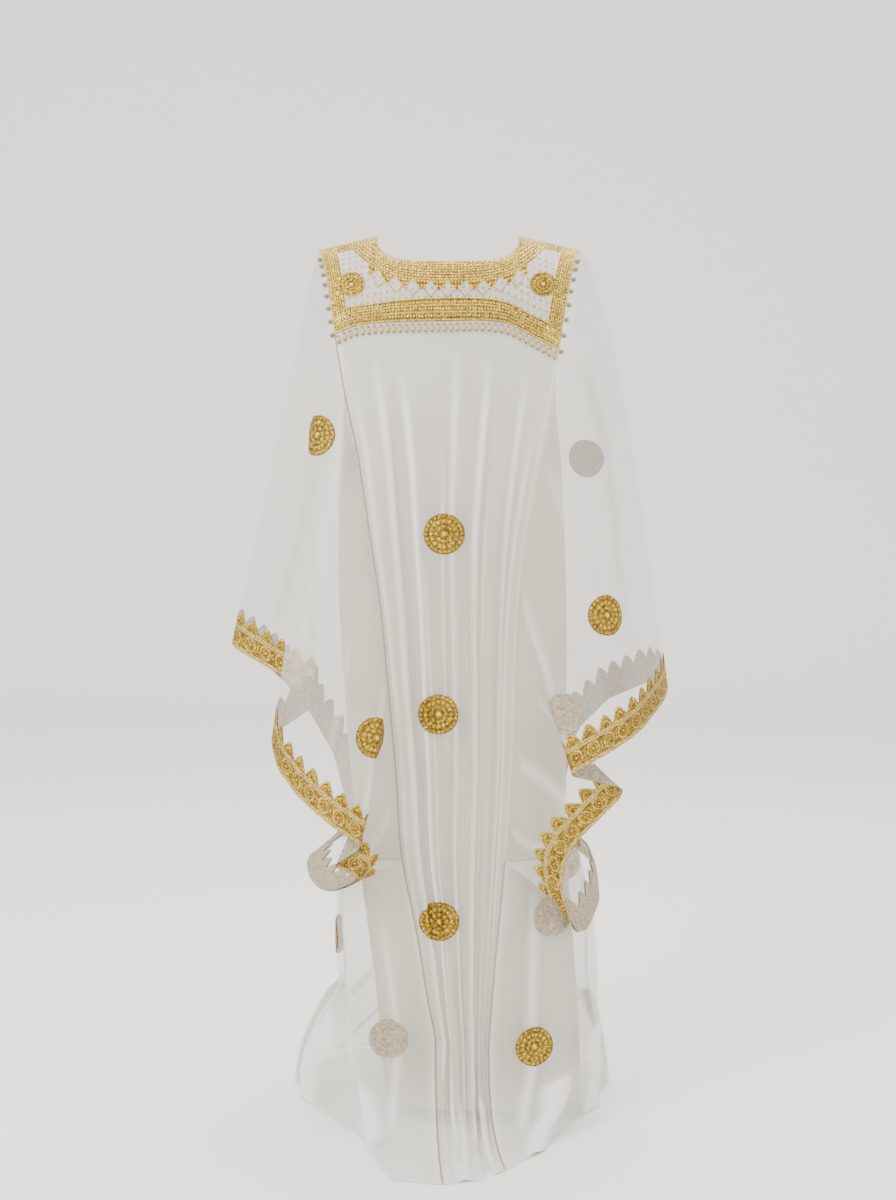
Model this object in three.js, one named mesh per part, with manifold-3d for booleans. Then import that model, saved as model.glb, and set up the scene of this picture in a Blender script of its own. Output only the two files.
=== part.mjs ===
/**
 * Embroidered tulle dress: a very wide, full-length gown with wing sleeves, kept in its hollow worn form.
 *
 * Frame: millimetres, +Z up, the back of the dress towards -Y, the wearer's left towards -X.
 * The origin is on the shoulder line, midway between the two ends of the neck opening.
 *
 * Every panel is a Sheet: a grid of middle points, worked out from the tables below, with a wall built
 * half a thickness to each side. Trims and roundels are made from a panel's own points, moved out.
 */
import * as THREE from 'three';
import { mergeVertices } from 'three/addons/utils/BufferGeometryUtils.js';
import Module from 'manifold-3d';

const wasm = await Module();
wasm.setup();

// ---------------------------------------------------------------- driving dimensions

const CLOTH = 1.2; // wall of a tulle or lining panel
const YOKE_WALL = 1.6; // backed net of the yokes
const RAISED = 0.9; // height of the dense gold bands above a yoke's ground
const SEAM_GAP = 0.3; // between neighbouring pieces
const TRIM = 1.4; // thickness of a cuff trim, drop fringe or roundel
const FLOOR_Z = -1370; // surface that the train lies on
const HEM_LIFT = 1.4; // middle of the wall above that surface

const NECK_HALF = 114; // half the width of the neck opening
const SHOULDER_DROP = 20; // fall of the shoulder line from neck to armhole
const NECK_BACK = { drop: 40, depth: 75 }; // lowest and rearmost point of the back neckline
const NECK_FRONT = { drop: 85, depth: 72 };
const NECK_SHARE = 0.2; // share of a yoke's width taken by each shoulder
const BINDING_RADIUS = 2.2;

const SLEEVE_SEAM_Z = -941; // height of the level seam under each sleeve
const SLEEVE_SEAM_SHARE = 0.75; // where that seam lies in a centre panel's fall
const UNDERARM_LAP = 6; // the sleeve laps over the gore's top edge
const UNDERARM_LIFT = 2; // and starts this far above it
const BAND_WIDTH = 36; // straight part of the cuff trim
const SCALLOP_HEIGHT = 19; // points along its upper edge
const ROUNDEL_RADIUS = 30.5;

// Straight-on seams of the centre back and centre front panels, by height.
const CENTRE_SEAMS = [
  { z: -120, backLeft: -173, backRight: 171, frontLeft: -170, frontRight: 170 },
  { z: -172, backLeft: -165, backRight: 165, frontLeft: -163, frontRight: 163 },
  { z: -245, backLeft: -152, backRight: 152, frontLeft: -150, frontRight: 150 },
  { z: -319, backLeft: -136, backRight: 137, frontLeft: -137, frontRight: 137 },
  { z: -452, backLeft: -116, backRight: 114, frontLeft: -117, frontRight: 117 },
  { z: -557, backLeft: -101, backRight: 103, frontLeft: -104, frontRight: 106 },
  { z: -678, backLeft: -90, backRight: 98, frontLeft: -94, frontRight: 98 },
  { z: -802, backLeft: -79, backRight: 94, frontLeft: -84, frontRight: 94 },
  { z: -933, backLeft: -70, backRight: 86, frontLeft: -76, frontRight: 90 },
  { z: -1056, backLeft: -47, backRight: 75, frontLeft: -68, frontRight: 86 },
  { z: -1161, backLeft: -30, backRight: 66, frontLeft: -60, frontRight: 82 },
  { z: -1244, backLeft: -15, backRight: 61, frontLeft: -55, frontRight: 80 },
  { z: -1370, backLeft: -8, backRight: 60, frontLeft: -50, frontRight: 80 },
];

// How far the falling cloth stands behind and before the wearer, and how much its middle bows.
const BODY_DEPTHS = [
  { z: -120, back: 108, front: 100, bowBack: 27, bowFront: 30 },
  { z: -170, back: 118, front: 112, bowBack: 24, bowFront: 26 },
  { z: -250, back: 126, front: 126, bowBack: 20, bowFront: 22 },
  { z: -400, back: 130, front: 130, bowBack: 14, bowFront: 16 },
  { z: -700, back: 130, front: 128, bowBack: 8, bowFront: 8 },
  { z: -1000, back: 130, front: 128, bowBack: 4, bowFront: 4 },
  { z: -1370, back: 132, front: 130, bowBack: 2, bowFront: 2 },
];

// Widest points of the side gores, below the sleeves.
const GORE_SIDES = [
  { z: -935, left: -157, right: 202 },
  { z: -990, left: -168, right: 214 },
  { z: -1040, left: -172, right: 223 },
  { z: -1170, left: -165, right: 229 },
  { z: -1370, left: -165, right: 230 },
];

// Long folds that start below the yokes and deepen towards the floor. "at" counts round the dress:
// 0 to 1 centre back, 1 to 2 right gore, 2 to 3 centre front, 3 to 4 left gore.
const BODY_FOLDS = [
  { at: 0.12, width: 0.1, depth: 20, from: -210, full: -620 },
  { at: 0.4, width: 0.13, depth: 9, from: -260, full: -900 },
  { at: 0.63, width: 0.09, depth: 18, from: -190, full: -560 },
  { at: 0.82, width: 0.08, depth: 14, from: -230, full: -640 },
  { at: 1.0, width: 0.1, depth: 12, from: -330, full: -760 },
  { at: 1.22, width: 0.08, depth: 15, from: -950, full: -1120 },
  { at: 1.46, width: 0.09, depth: 9, from: -950, full: -1150 },
  { at: 1.72, width: 0.09, depth: 15, from: -950, full: -1130 },
  { at: 2.14, width: 0.09, depth: 18, from: -230, full: -600 },
  { at: 2.38, width: 0.09, depth: 20, from: -200, full: -640 },
  { at: 2.63, width: 0.1, depth: 16, from: -210, full: -580 },
  { at: 2.88, width: 0.08, depth: 18, from: -250, full: -620 },
  { at: 3.28, width: 0.09, depth: 14, from: -950, full: -1130 },
  { at: 3.54, width: 0.08, depth: 9, from: -950, full: -1150 },
  { at: 3.8, width: 0.09, depth: 15, from: -950, full: -1080 },
];

// The hem on the floor: where it lies, where the cloth above it leaves the vertical, and how far it
// puffs out before it lands (0 lies as a train, 1 stands out as a break).
const HEM = [
  { at: 0.0, x: -8, y: -327, breakZ: -1215, puff: 0.0 },
  { at: 0.5, x: 42, y: -313, breakZ: -1225, puff: 0.0 },
  { at: 1.0, x: 84, y: -276, breakZ: -1225, puff: 0.0 },
  { at: 1.14, x: 128, y: -214, breakZ: -1210, puff: 0.1 },
  { at: 1.3, x: 178, y: -112, breakZ: -1190, puff: 0.35 },
  { at: 1.48, x: 232, y: 2, breakZ: -1175, puff: 0.7 },
  { at: 1.66, x: 262, y: 112, breakZ: -1165, puff: 0.9 },
  { at: 1.84, x: 258, y: 210, breakZ: -1165, puff: 0.8 },
  { at: 2.0, x: 206, y: 284, breakZ: -1170, puff: 0.6 },
  { at: 2.25, x: 108, y: 312, breakZ: -1185, puff: 0.4 },
  { at: 2.5, x: 6, y: 318, breakZ: -1190, puff: 0.3 },
  { at: 2.75, x: -96, y: 308, breakZ: -1185, puff: 0.4 },
  { at: 3.0, x: -188, y: 272, breakZ: -1170, puff: 0.6 },
  { at: 3.16, x: -240, y: 205, breakZ: -1160, puff: 0.85 },
  { at: 3.34, x: -252, y: 118, breakZ: -1155, puff: 0.9 },
  { at: 3.5, x: -222, y: 22, breakZ: -1160, puff: 0.75 },
  { at: 3.64, x: -176, y: -62, breakZ: -1175, puff: 0.4 },
  { at: 3.76, x: -124, y: -142, breakZ: -1195, puff: 0.1 },
  { at: 3.86, x: -106, y: -236, breakZ: -1205, puff: 0.0 },
  { at: 3.94, x: -84, y: -312, breakZ: -1210, puff: 0.0 },
];

// Lower edge of the yokes, by share of their width.
const YOKE_HEM = [
  { at: 0, back: -148, front: -156 },
  { at: 0.12, back: -134, front: -150 },
  { at: 0.5, back: -129, front: -147 },
  { at: 0.74, back: -131, front: -149 },
  { at: 0.88, back: -152, front: -152 },
  { at: 1, back: -172, front: -156 },
];

const SHOULDER_X = { left: -198, right: 203 }; // outer ends of the shoulder line
const GORE_MIDDLE_X = { left: -60, right: 90 }; // each gore faces outwards from here

// Where each share of the sleeve's armhole edge lies.
const ARMHOLE = { backSeam: 0.07, backCorner: 0.42, frontCorner: 0.58, frontSeam: 0.93 };

// The mouth of the left sleeve: one long band that falls in folds. "at" runs from the side of the
// body, up the back of the mouth to its outermost corner, and down the front of it.
const MOUTH_LEFT = [
  { at: 0, x: -224, y: 6, z: -975 },
  { at: 0.02, x: -216, y: -38, z: -988 },
  { at: 0.04, x: -196, y: -86, z: -996 },
  { at: 0.06, x: -172, y: -122, z: -988 },
  { at: 0.085, x: -140, y: -146, z: -970 },
  { at: 0.1, x: -136, y: -164, z: -956 },
  { at: 0.14, x: -168, y: -170, z: -942 },
  { at: 0.16, x: -168, y: -186, z: -932 },
  { at: 0.18, x: -132, y: -190, z: -910 },
  { at: 0.2, x: -127, y: -208, z: -900 },
  { at: 0.25, x: -172, y: -200, z: -872 },
  { at: 0.32, x: -222, y: -170, z: -836 },
  { at: 0.38, x: -256, y: -134, z: -796 },
  { at: 0.415, x: -268, y: -106, z: -762 },
  { at: 0.43, x: -262, y: -84, z: -750 },
  { at: 0.465, x: -201, y: -56, z: -712 },
  { at: 0.475, x: -199, y: -32, z: -704 },
  { at: 0.515, x: -336, y: 20, z: -634 },
  { at: 0.53, x: -342, y: 40, z: -624 },
  { at: 0.6, x: -292, y: 104, z: -672 },
  { at: 0.7, x: -230, y: 146, z: -748 },
  { at: 0.8, x: -188, y: 160, z: -830 },
  { at: 0.88, x: -168, y: 152, z: -905 },
  { at: 0.93, x: -178, y: 130, z: -950 },
  { at: 0.965, x: -204, y: 88, z: -966 },
  { at: 0.985, x: -220, y: 44, z: -970 },
];

const MOUTH_RIGHT = [
  { at: 0, x: 236, y: 14, z: -990 },
  { at: 0.02, x: 236, y: -50, z: -1020 },
  { at: 0.04, x: 214, y: -112, z: -1050 },
  { at: 0.055, x: 194, y: -134, z: -1052 },
  { at: 0.08, x: 172, y: -148, z: -985 },
  { at: 0.095, x: 172, y: -150, z: -945 },
  { at: 0.11, x: 190, y: -140, z: -912 },
  { at: 0.17, x: 262, y: -128, z: -842 },
  { at: 0.19, x: 264, y: -146, z: -826 },
  { at: 0.235, x: 190, y: -166, z: -804 },
  { at: 0.26, x: 182, y: -196, z: -794 },
  { at: 0.32, x: 234, y: -186, z: -768 },
  { at: 0.4, x: 290, y: -138, z: -738 },
  { at: 0.46, x: 332, y: -62, z: -704 },
  { at: 0.485, x: 342, y: -18, z: -688 },
  { at: 0.54, x: 322, y: 50, z: -690 },
  { at: 0.63, x: 262, y: 112, z: -728 },
  { at: 0.73, x: 212, y: 148, z: -784 },
  { at: 0.82, x: 194, y: 158, z: -868 },
  { at: 0.9, x: 190, y: 150, z: -945 },
  { at: 0.95, x: 214, y: 116, z: -980 },
  { at: 0.985, x: 236, y: 54, z: -986 },
];

// Soft troughs and ridges down the sleeves, by share of the armhole; they deepen towards the mouth.
const SLEEVE_FOLDS = [
  { at: 0.31, width: 0.03, depth: -7 },
  { at: 0.37, width: 0.025, depth: 8 },
  { at: 0.64, width: 0.035, depth: 10 },
  { at: 0.72, width: 0.03, depth: -8 },
  { at: 0.8, width: 0.035, depth: 9 },
];

// Sleeve fullness over the upper arm: extra width, and how far back and front stand apart.
const SLEEVE_FULLNESS = { left: 9, right: 24, depth: 16 };

// Inner lining tube: half widths left and right of the middle, and its depth, by height.
const LINING = [
  { z: -140, left: -160, right: 160, depth: 104 },
  { z: -230, left: -160, right: 166, depth: 105 },
  { z: -400, left: -168, right: 178, depth: 106 },
  { z: -565, left: -169, right: 184, depth: 106 },
  { z: -941, left: -142, right: 187, depth: 106 },
  { z: -1190, left: -112, right: 205, depth: 106 },
  { z: -1370, left: -98, right: 212, depth: 106 },
];
const LINING_HEM_Z = -1338;
const LINING_ARMHOLE_Z = -232;
const LINING_TUCK = 5; // how far the lining reaches up behind a yoke's lower edge

// Embroidered roundels. "face" is 1 on the outside of the cloth and -1 on its inside.
const BACK_ROUNDELS = [
  { name: 'roundel_back_upper', x: -7, z: -444 },
  { name: 'roundel_back_middle', x: -15, z: -724 },
  { name: 'roundel_back_lower', x: -14, z: -1040 },
];
const SLEEVE_ROUNDELS = [
  { name: 'roundel_sleeve_left', side: 'left', s: 0.41, z: -298, face: 1 },
  { name: 'roundel_sleeve_left_inner', side: 'left', s: 0.2, z: -747, face: 1 },
  { name: 'roundel_sleeve_right', side: 'right', s: 0.37, z: -563, face: 1 },
  { name: 'roundel_sleeve_right_front', side: 'right', s: 0.6, z: -335, face: 1 },
  { name: 'roundel_sleeve_right_fold', side: 'right', s: 0.255, z: -710, face: -1 },
  { name: 'roundel_sleeve_right_under', side: 'right', s: 0.09, z: -938, face: -1 },
];
const GORE_ROUNDELS = [
  { name: 'roundel_gore_left', panel: 'left', at: 3.5, z: -1088, face: 1 },
  { name: 'roundel_gore_left_low', panel: 'left', at: 3.87, z: -1215, face: -1 },
  { name: 'roundel_gore_right', panel: 'right', at: 1.1, z: -1232, face: 1 },
  { name: 'roundel_gore_right_high', panel: 'right', at: 1.17, z: -1030, face: -1 },
];

// Grid sizes of the panels: columns across, rows down. The yokes and the centre panels share theirs,
// so that they meet edge to edge.
const GRID = {
  shoulder: 4,
  neck: 14,
  aboveSleeveSeam: 8,
  belowSleeveSeam: 3,
  onFloor: 7,
  goreColumns: 14,
  sleeve: { columns: 48, rows: 6 },
  lining: { columns: 14, rows: 8 },
  bindingSides: 6,
  cutter: 16,
};

// ---------------------------------------------------------------- colours

const FINISH = {
  tulle: { color: 0xe9e5dc, roughness: 0.75, metalness: 0 },
  lining: { color: 0xe6dcd3, roughness: 0.8, metalness: 0 },
  net: { color: 0xe4dedb, roughness: 0.8, metalness: 0 },
  gold: { color: 0xb9912f, roughness: 0.38, metalness: 0.75 },
};

// ---------------------------------------------------------------- small helpers

const clamp01 = (value) => Math.min(Math.max(value, 0), 1);

const smooth = (value) => {
  const t = clamp01(value);
  return t * t * (3 - 2 * t);
};

const lerp = THREE.MathUtils.lerp;

const evenSteps = (count, from = 0, to = 1) =>
  Array.from({ length: count + 1 }, (_, index) => lerp(from, to, index / count));

/** Smooth reading of one column of a table, by the key column; the key may run either way. */
function reader(rows, key, column) {
  const sorted = [...rows].sort((a, b) => a[key] - b[key]);
  const slopes = sorted.map((_, index) => {
    const before = sorted[Math.max(index - 1, 0)];
    const after = sorted[Math.min(index + 1, sorted.length - 1)];
    return (after[column] - before[column]) / (after[key] - before[key]);
  });
  return (value) => {
    const at = Math.min(Math.max(value, sorted[0][key]), sorted[sorted.length - 1][key]);
    let index = sorted.findIndex((row) => row[key] > at) - 1;
    if (index < 0) index = sorted.length - 2;
    const low = sorted[index];
    const high = sorted[index + 1];
    const span = high[key] - low[key];
    const t = (at - low[key]) / span;
    const rise = high[column] - low[column];
    const enter = slopes[index] * span;
    const leave = slopes[index + 1] * span;
    return low[column] + t * (enter + t * (3 * rise - 2 * enter - leave + t * (enter + leave - 2 * rise)));
  };
}

/** Straight reading of a column of a table that closes on itself after one turn of the key. */
function loopReader(rows, key, column, turn) {
  return (value) => {
    const at = ((value % turn) + turn) % turn;
    let index = rows.length - 1;
    while (index > 0 && rows[index][key] > at) index -= 1;
    const low = rows[index];
    const high = rows[(index + 1) % rows.length];
    const span = (high[key] - low[key] + turn) % turn;
    return lerp(low[column], high[column], (at - low[key]) / span);
  };
}

/** Ridge of height one at its middle, falling softly to nothing one width away. */
const ridge = (distance, width) => {
  const t = Math.abs(distance) / width;
  return t >= 1 ? 0 : (1 - t * t) ** 2;
};

// ---------------------------------------------------------------- body of the dress

const seamAt = {
  backLeft: reader(CENTRE_SEAMS, 'z', 'backLeft'),
  backRight: reader(CENTRE_SEAMS, 'z', 'backRight'),
  frontLeft: reader(CENTRE_SEAMS, 'z', 'frontLeft'),
  frontRight: reader(CENTRE_SEAMS, 'z', 'frontRight'),
};
const depthAt = {
  back: reader(BODY_DEPTHS, 'z', 'back'),
  front: reader(BODY_DEPTHS, 'z', 'front'),
  bowBack: reader(BODY_DEPTHS, 'z', 'bowBack'),
  bowFront: reader(BODY_DEPTHS, 'z', 'bowFront'),
};
const goreAt = { left: reader(GORE_SIDES, 'z', 'left'), right: reader(GORE_SIDES, 'z', 'right') };
const hemAt = {
  x: loopReader(HEM, 'at', 'x', 4),
  y: loopReader(HEM, 'at', 'y', 4),
  breakZ: loopReader(HEM, 'at', 'breakZ', 4),
  puff: loopReader(HEM, 'at', 'puff', 4),
};

/** Stiff roundels hold the tulle flat around them, so folds fade there. */
function roundelCalm(x, z) {
  const reach = ROUNDEL_RADIUS * 2.1;
  const nearest = Math.min(...BACK_ROUNDELS.map((spot) => Math.hypot(x - spot.x, z - spot.z)));
  return smooth((nearest - ROUNDEL_RADIUS * 0.75) / (reach - ROUNDEL_RADIUS * 0.75));
}

/** How far the folds push the cloth out at a place round the dress. */
function foldDepth(at, z) {
  return BODY_FOLDS.reduce((sum, fold) => {
    const turn = Math.abs(at - fold.at);
    const distance = Math.min(turn, 4 - turn);
    const grown = smooth((fold.from - z) / (fold.from - fold.full));
    return sum + fold.depth * grown * ridge(distance, fold.width);
  }, 0);
}

/** A point of the falling cloth: "at" counts round the dress, z is its height. */
function ringPoint(at, z) {
  const turn = ((at % 4) + 4) % 4;
  const quarter = Math.min(Math.floor(turn), 3);
  const share = turn - quarter;
  const backLeft = seamAt.backLeft(z);
  const backRight = seamAt.backRight(z);
  const frontLeft = seamAt.frontLeft(z);
  const frontRight = seamAt.frontRight(z);
  const bow = (2 * share - 1) ** 2;
  const fold = foldDepth(turn, z);
  if (quarter === 0) {
    const x = lerp(backLeft, backRight, share);
    const calm = roundelCalm(x, z);
    return new THREE.Vector3(x, -(depthAt.back(z) - depthAt.bowBack(z) * bow + fold * calm), z);
  }
  if (quarter === 2) {
    const x = lerp(frontRight, frontLeft, share);
    return new THREE.Vector3(x, depthAt.front(z) - depthAt.bowFront(z) * bow + fold, z);
  }
  const right = quarter === 1;
  const fromBack = right ? share : 1 - share;
  const seamBack = right ? backRight : backLeft;
  const seamFront = right ? frontRight : frontLeft;
  const side = right ? goreAt.right(z) : goreAt.left(z);
  const angle = (fromBack - 0.5) * Math.PI;
  const inner = lerp(seamBack, seamFront, fromBack);
  const yBack = -(depthAt.back(z) - depthAt.bowBack(z));
  const yFront = depthAt.front(z) - depthAt.bowFront(z);
  const wide = Math.cos(angle) ** 0.8;
  const push = new THREE.Vector3(Math.sign(side) * Math.cos(angle), Math.sin(angle), 0);
  const x = inner + (side - inner) * wide;
  const y = (yBack + yFront) / 2 + ((yFront - yBack) / 2) * Math.sin(angle);
  return new THREE.Vector3(x, y, z).addScaledVector(push, fold);
}

/** Height of a yoke's lower edge, where a centre panel starts. */
const yokeHemAt = { back: reader(YOKE_HEM, 'at', 'back'), front: reader(YOKE_HEM, 'at', 'front') };

function panelTopZ(at) {
  if (at <= 1) return yokeHemAt.back(at);
  if (at >= 2 && at <= 3) return yokeHemAt.front(3 - at);
  return SLEEVE_SEAM_Z;
}

/** Height of a place in the fall: the sleeve seam is level, the top edge and the break are not. */
function fallZ(at, down) {
  if (down <= SLEEVE_SEAM_SHARE) return lerp(panelTopZ(at), SLEEVE_SEAM_Z, down / SLEEVE_SEAM_SHARE);
  return lerp(SLEEVE_SEAM_Z, hemAt.breakZ(at), (down - SLEEVE_SEAM_SHARE) / (1 - SLEEVE_SEAM_SHARE));
}

/** A point of the dress below the yokes: "down" is 0 at the top edge, 1 at the break, 2 at the hem. */
function dressPoint(at, down) {
  const breakZ = hemAt.breakZ(at);
  if (down <= 1) return ringPoint(at, fallZ(at, down));
  const start = ringPoint(at, breakZ);
  const end = new THREE.Vector3(hemAt.x(at), hemAt.y(at), FLOOR_Z + HEM_LIFT);
  const puff = hemAt.puff(at);
  const drop = start.z - end.z;
  const across = new THREE.Vector3(end.x - start.x, end.y - start.y, 0);
  const first = start.clone().addScaledVector(across, 0.35 * puff);
  first.z -= drop * lerp(0.78, 0.2, puff);
  const second = start.clone().addScaledVector(across, lerp(0.3, 0.97, puff));
  second.z = end.z + drop * 0.62 * puff;
  const landing = new THREE.CubicBezierCurve3(start, first, second, end);
  const point = landing.getPoint(down - 1);
  const ripple = foldDepth(at, -1200) * 0.45 * Math.sin(Math.PI * clamp01(down - 1)) ** 0.7;
  point.z += ripple * smooth((down - 1) * 3);
  return point;
}

const FRINGE_ROW = 0.017; // share of the fall taken by the first row, which the drop fringe lies on

/** Rows shared by the pieces that meet along the long seams, so that they meet edge to edge. */
const seamRows = [
  0,
  ...evenSteps(GRID.aboveSleeveSeam, FRINGE_ROW, SLEEVE_SEAM_SHARE),
];
const lowerRows = [
  ...evenSteps(GRID.belowSleeveSeam, SLEEVE_SEAM_SHARE, 1),
  ...evenSteps(GRID.onFloor, 1, 2).slice(1),
];
const yokeRows = [0, 0.28, 0.34, 0.68, 0.74, 1];

/** Normal shared by the pieces that meet at a long seam. */
function seamFacing(at, down) {
  if (down < SLEEVE_SEAM_SHARE) {
    const turn = ((at % 4) + 4) % 4;
    const isRight = turn === 1 || turn === 2;
    return new THREE.Vector3(isRight ? 0.25 : -0.25, turn < 1.5 ? -1 : 1, 0).normalize();
  }
  const step = 0.02;
  const across = dressPoint(at + step, down).sub(dressPoint(at - step, down));
  const along = dressPoint(at, Math.min(down + step, 2)).sub(dressPoint(at, down - step));
  return along.cross(across).normalize();
}

// ---------------------------------------------------------------- yokes

/** A point of a yoke: "across" 0 to 1 from left to right, "down" 0 at the shoulder and neck edge. */
function yokePoint(isBack, across, down) {
  const sign = isBack ? -1 : 1;
  const neck = isBack ? NECK_BACK : NECK_FRONT;
  const shoulderX = across < 0.5 ? SHOULDER_X.left : SHOULDER_X.right;
  const top = new THREE.Vector3();
  const outward = Math.abs(across - 0.5) - (0.5 - NECK_SHARE);
  if (outward >= 0) {
    const share = outward / NECK_SHARE;
    top.set(lerp(Math.sign(shoulderX) * NECK_HALF, shoulderX, share), 0, -SHOULDER_DROP * share);
  } else {
    const place = (across - 0.5) / (0.5 - NECK_SHARE);
    const drop = neck.drop * Math.sqrt(1 - (isBack ? place ** 4 : place ** 2));
    top.set(NECK_HALF * place, sign * neck.depth * Math.sqrt(1 - place ** 2), -drop);
  }
  const hemZ = isBack ? yokeHemAt.back(across) : yokeHemAt.front(across);
  const bottom = ringPoint(isBack ? across : 3 - across, hemZ);
  const turn = (down * Math.PI) / 2;
  return new THREE.Vector3(
    lerp(top.x, bottom.x, down),
    lerp(top.y, bottom.y, Math.sin(turn)),
    lerp(top.z, bottom.z, 1 - Math.cos(turn)),
  );
}

/** Normal shared by a yoke's side edge and the sleeve sewn to it: up on the shoulder, then level. */
function yokeEdgeNormal(isBack, isRight, down) {
  const level = new THREE.Vector3(isRight ? 0.25 : -0.25, isBack ? -1 : 1, 0).normalize();
  const upright = new THREE.Vector3(isRight ? 0.22 : -0.22, 0, 1).normalize();
  const turn = (down * Math.PI) / 2;
  return upright.multiplyScalar(Math.cos(turn)).addScaledVector(level, Math.sin(turn)).normalize();
}

/** Dense gold bands along the neck, sides and lower edge stand above the net ground. */
function yokeRaise(across, down) {
  const side = Math.min(across, 1 - across);
  if (side < 0.09 || down < 0.3 || down > 0.72) return RAISED;
  return 0;
}

// ---------------------------------------------------------------- sleeves

const mouthTables = { left: MOUTH_LEFT, right: MOUTH_RIGHT };

/** Level direction out of the side of the dress under an arm. */
function goreOutward(side, point) {
  return new THREE.Vector3(point.x - GORE_MIDDLE_X[side], point.y, 0).normalize();
}

/** A point of a broken line, at a share that the line's own stations are given by. */
function alongStations(stations, share, pointAt) {
  let index = 0;
  while (index < stations.length - 2 && stations[index + 1] < share) index += 1;
  const low = stations[index];
  const high = stations[index + 1];
  return pointAt(low).lerp(pointAt(high), (share - low) / (high - low));
}

/** What one half of the armhole is made of: its side of the dress and its own shares. */
function armholeHalf(side, s) {
  const isLeft = side === 'left';
  const isBack = s < 0.5;
  return {
    isLeft,
    isBack,
    travel: isBack ? s : 1 - s,
    corner: isBack ? ARMHOLE.backCorner : 1 - ARMHOLE.frontCorner,
    lowSeam: isBack ? ARMHOLE.backSeam : 1 - ARMHOLE.frontSeam,
    seamPlace: [isLeft ? 3 : 2, isLeft ? 0 : 1][Number(isBack)],
  };
}

/** Where the sleeve joins the dress: under the arm, up the back seam, over the shoulder, and down. */
function armholePoint(side, s) {
  const { isLeft, isBack, travel, corner, lowSeam, seamPlace } = armholeHalf(side, s);
  if (travel < lowSeam) {
    const share = travel / lowSeam;
    const middle = isLeft ? 3.5 : 1.5;
    const towards = isLeft === isBack ? 0.499 : -0.499;
    const point = ringPoint(middle + towards * share, SLEEVE_SEAM_Z);
    point.z += UNDERARM_LIFT;
    return point.addScaledVector(goreOutward(side, point), UNDERARM_LAP * (1 - share ** 6));
  }
  if (travel <= corner) {
    const down = SLEEVE_SEAM_SHARE * (1 - (travel - lowSeam) / (corner - lowSeam));
    const point = alongStations(seamRows, down, (row) => dressPoint(seamPlace, row));
    if (travel > lowSeam) return point;
    const above = dressPoint(seamPlace, seamRows[seamRows.length - 2]);
    return point.lerp(above, UNDERARM_LIFT / (above.z - point.z));
  }
  const down = 1 - (travel - corner) / (0.5 - corner);
  return alongStations(yokeRows, down, (row) => yokePoint(isBack, isLeft ? 0 : 1, row));
}

/** Normal along the armhole: the one that the piece on the other side of the seam has there. */
function armholeNormal(side, s, own) {
  const { isLeft, isBack, travel, corner, lowSeam, seamPlace } = armholeHalf(side, s);
  if (travel > corner) return yokeEdgeNormal(isBack, !isLeft, 1 - (travel - corner) / (0.5 - corner));
  if (travel < lowSeam) return own;
  if (travel === lowSeam) return new THREE.Vector3(0, own.y, own.z).normalize();
  return seamFacing(seamPlace, SLEEVE_SEAM_SHARE * (1 - (travel - lowSeam) / (corner - lowSeam)));
}

/** Shares of the armhole at which the edge that the sleeve is sewn to has a corner. */
const armholeStations = [true, false].flatMap((isBack) => {
  const { corner, lowSeam } = armholeHalf('left', isBack ? 0 : 1);
  const shares = [
    ...seamRows.map((row) => lerp(corner, lowSeam, row / SLEEVE_SEAM_SHARE)),
    ...yokeRows.slice(0, -1).map((row) => lerp(0.5, corner, row)),
  ];
  return shares.filter((share) => isBack || share < 0.5).map((share) => (isBack ? share : 1 - share));
}).sort((a, b) => a - b);

function mouthPoint(side, s) {
  const rows = mouthTables[side];
  return new THREE.Vector3(
    loopReader(rows, 'at', 'x', 1)(s),
    loopReader(rows, 'at', 'y', 1)(s),
    loopReader(rows, 'at', 'z', 1)(s),
  );
}

/**
 * Columns of a sleeve: evenly spaced along the mouth, so that the points of its trim are even, with
 * the armhole end of each drawn to the nearest corner of the edge that it is sewn to.
 */
function sleeveColumns(side, count) {
  const fine = evenSteps(count * 40).map((s) => ({ s, point: mouthPoint(side, s) }));
  const lengths = [0];
  fine.slice(1).forEach((entry, index) => {
    lengths.push(lengths[index] + entry.point.distanceTo(fine[index].point));
  });
  const total = lengths[lengths.length - 1];
  const columns = evenSteps(count).slice(0, -1).map((share) => {
    const mouth = fine[lengths.findIndex((length) => length >= share * total)].s;
    return { mouth, armhole: mouth, pinned: false };
  });
  let last = 0;
  armholeStations.forEach((station, index) => {
    const left = armholeStations.length - index;
    let best = last + 1;
    for (let i = last + 1; i <= count - left; i += 1) {
      if (Math.abs(columns[i].mouth - station) < Math.abs(columns[best].mouth - station)) best = i;
    }
    columns[best].armhole = station;
    columns[best].pinned = true;
    last = best;
  });
  columns[0].pinned = true;
  const pins = columns.map((column, i) => (column.pinned ? i : -1)).filter((i) => i >= 0);
  pins.forEach((from, k) => {
    const to = pins[k + 1] ?? count;
    const end = to === count ? 1 : columns[to].armhole;
    for (let i = from + 1; i < to; i += 1) {
      columns[i].armhole = lerp(columns[from].armhole, end, (i - from) / (to - from));
    }
  });
  return columns;
}

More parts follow.
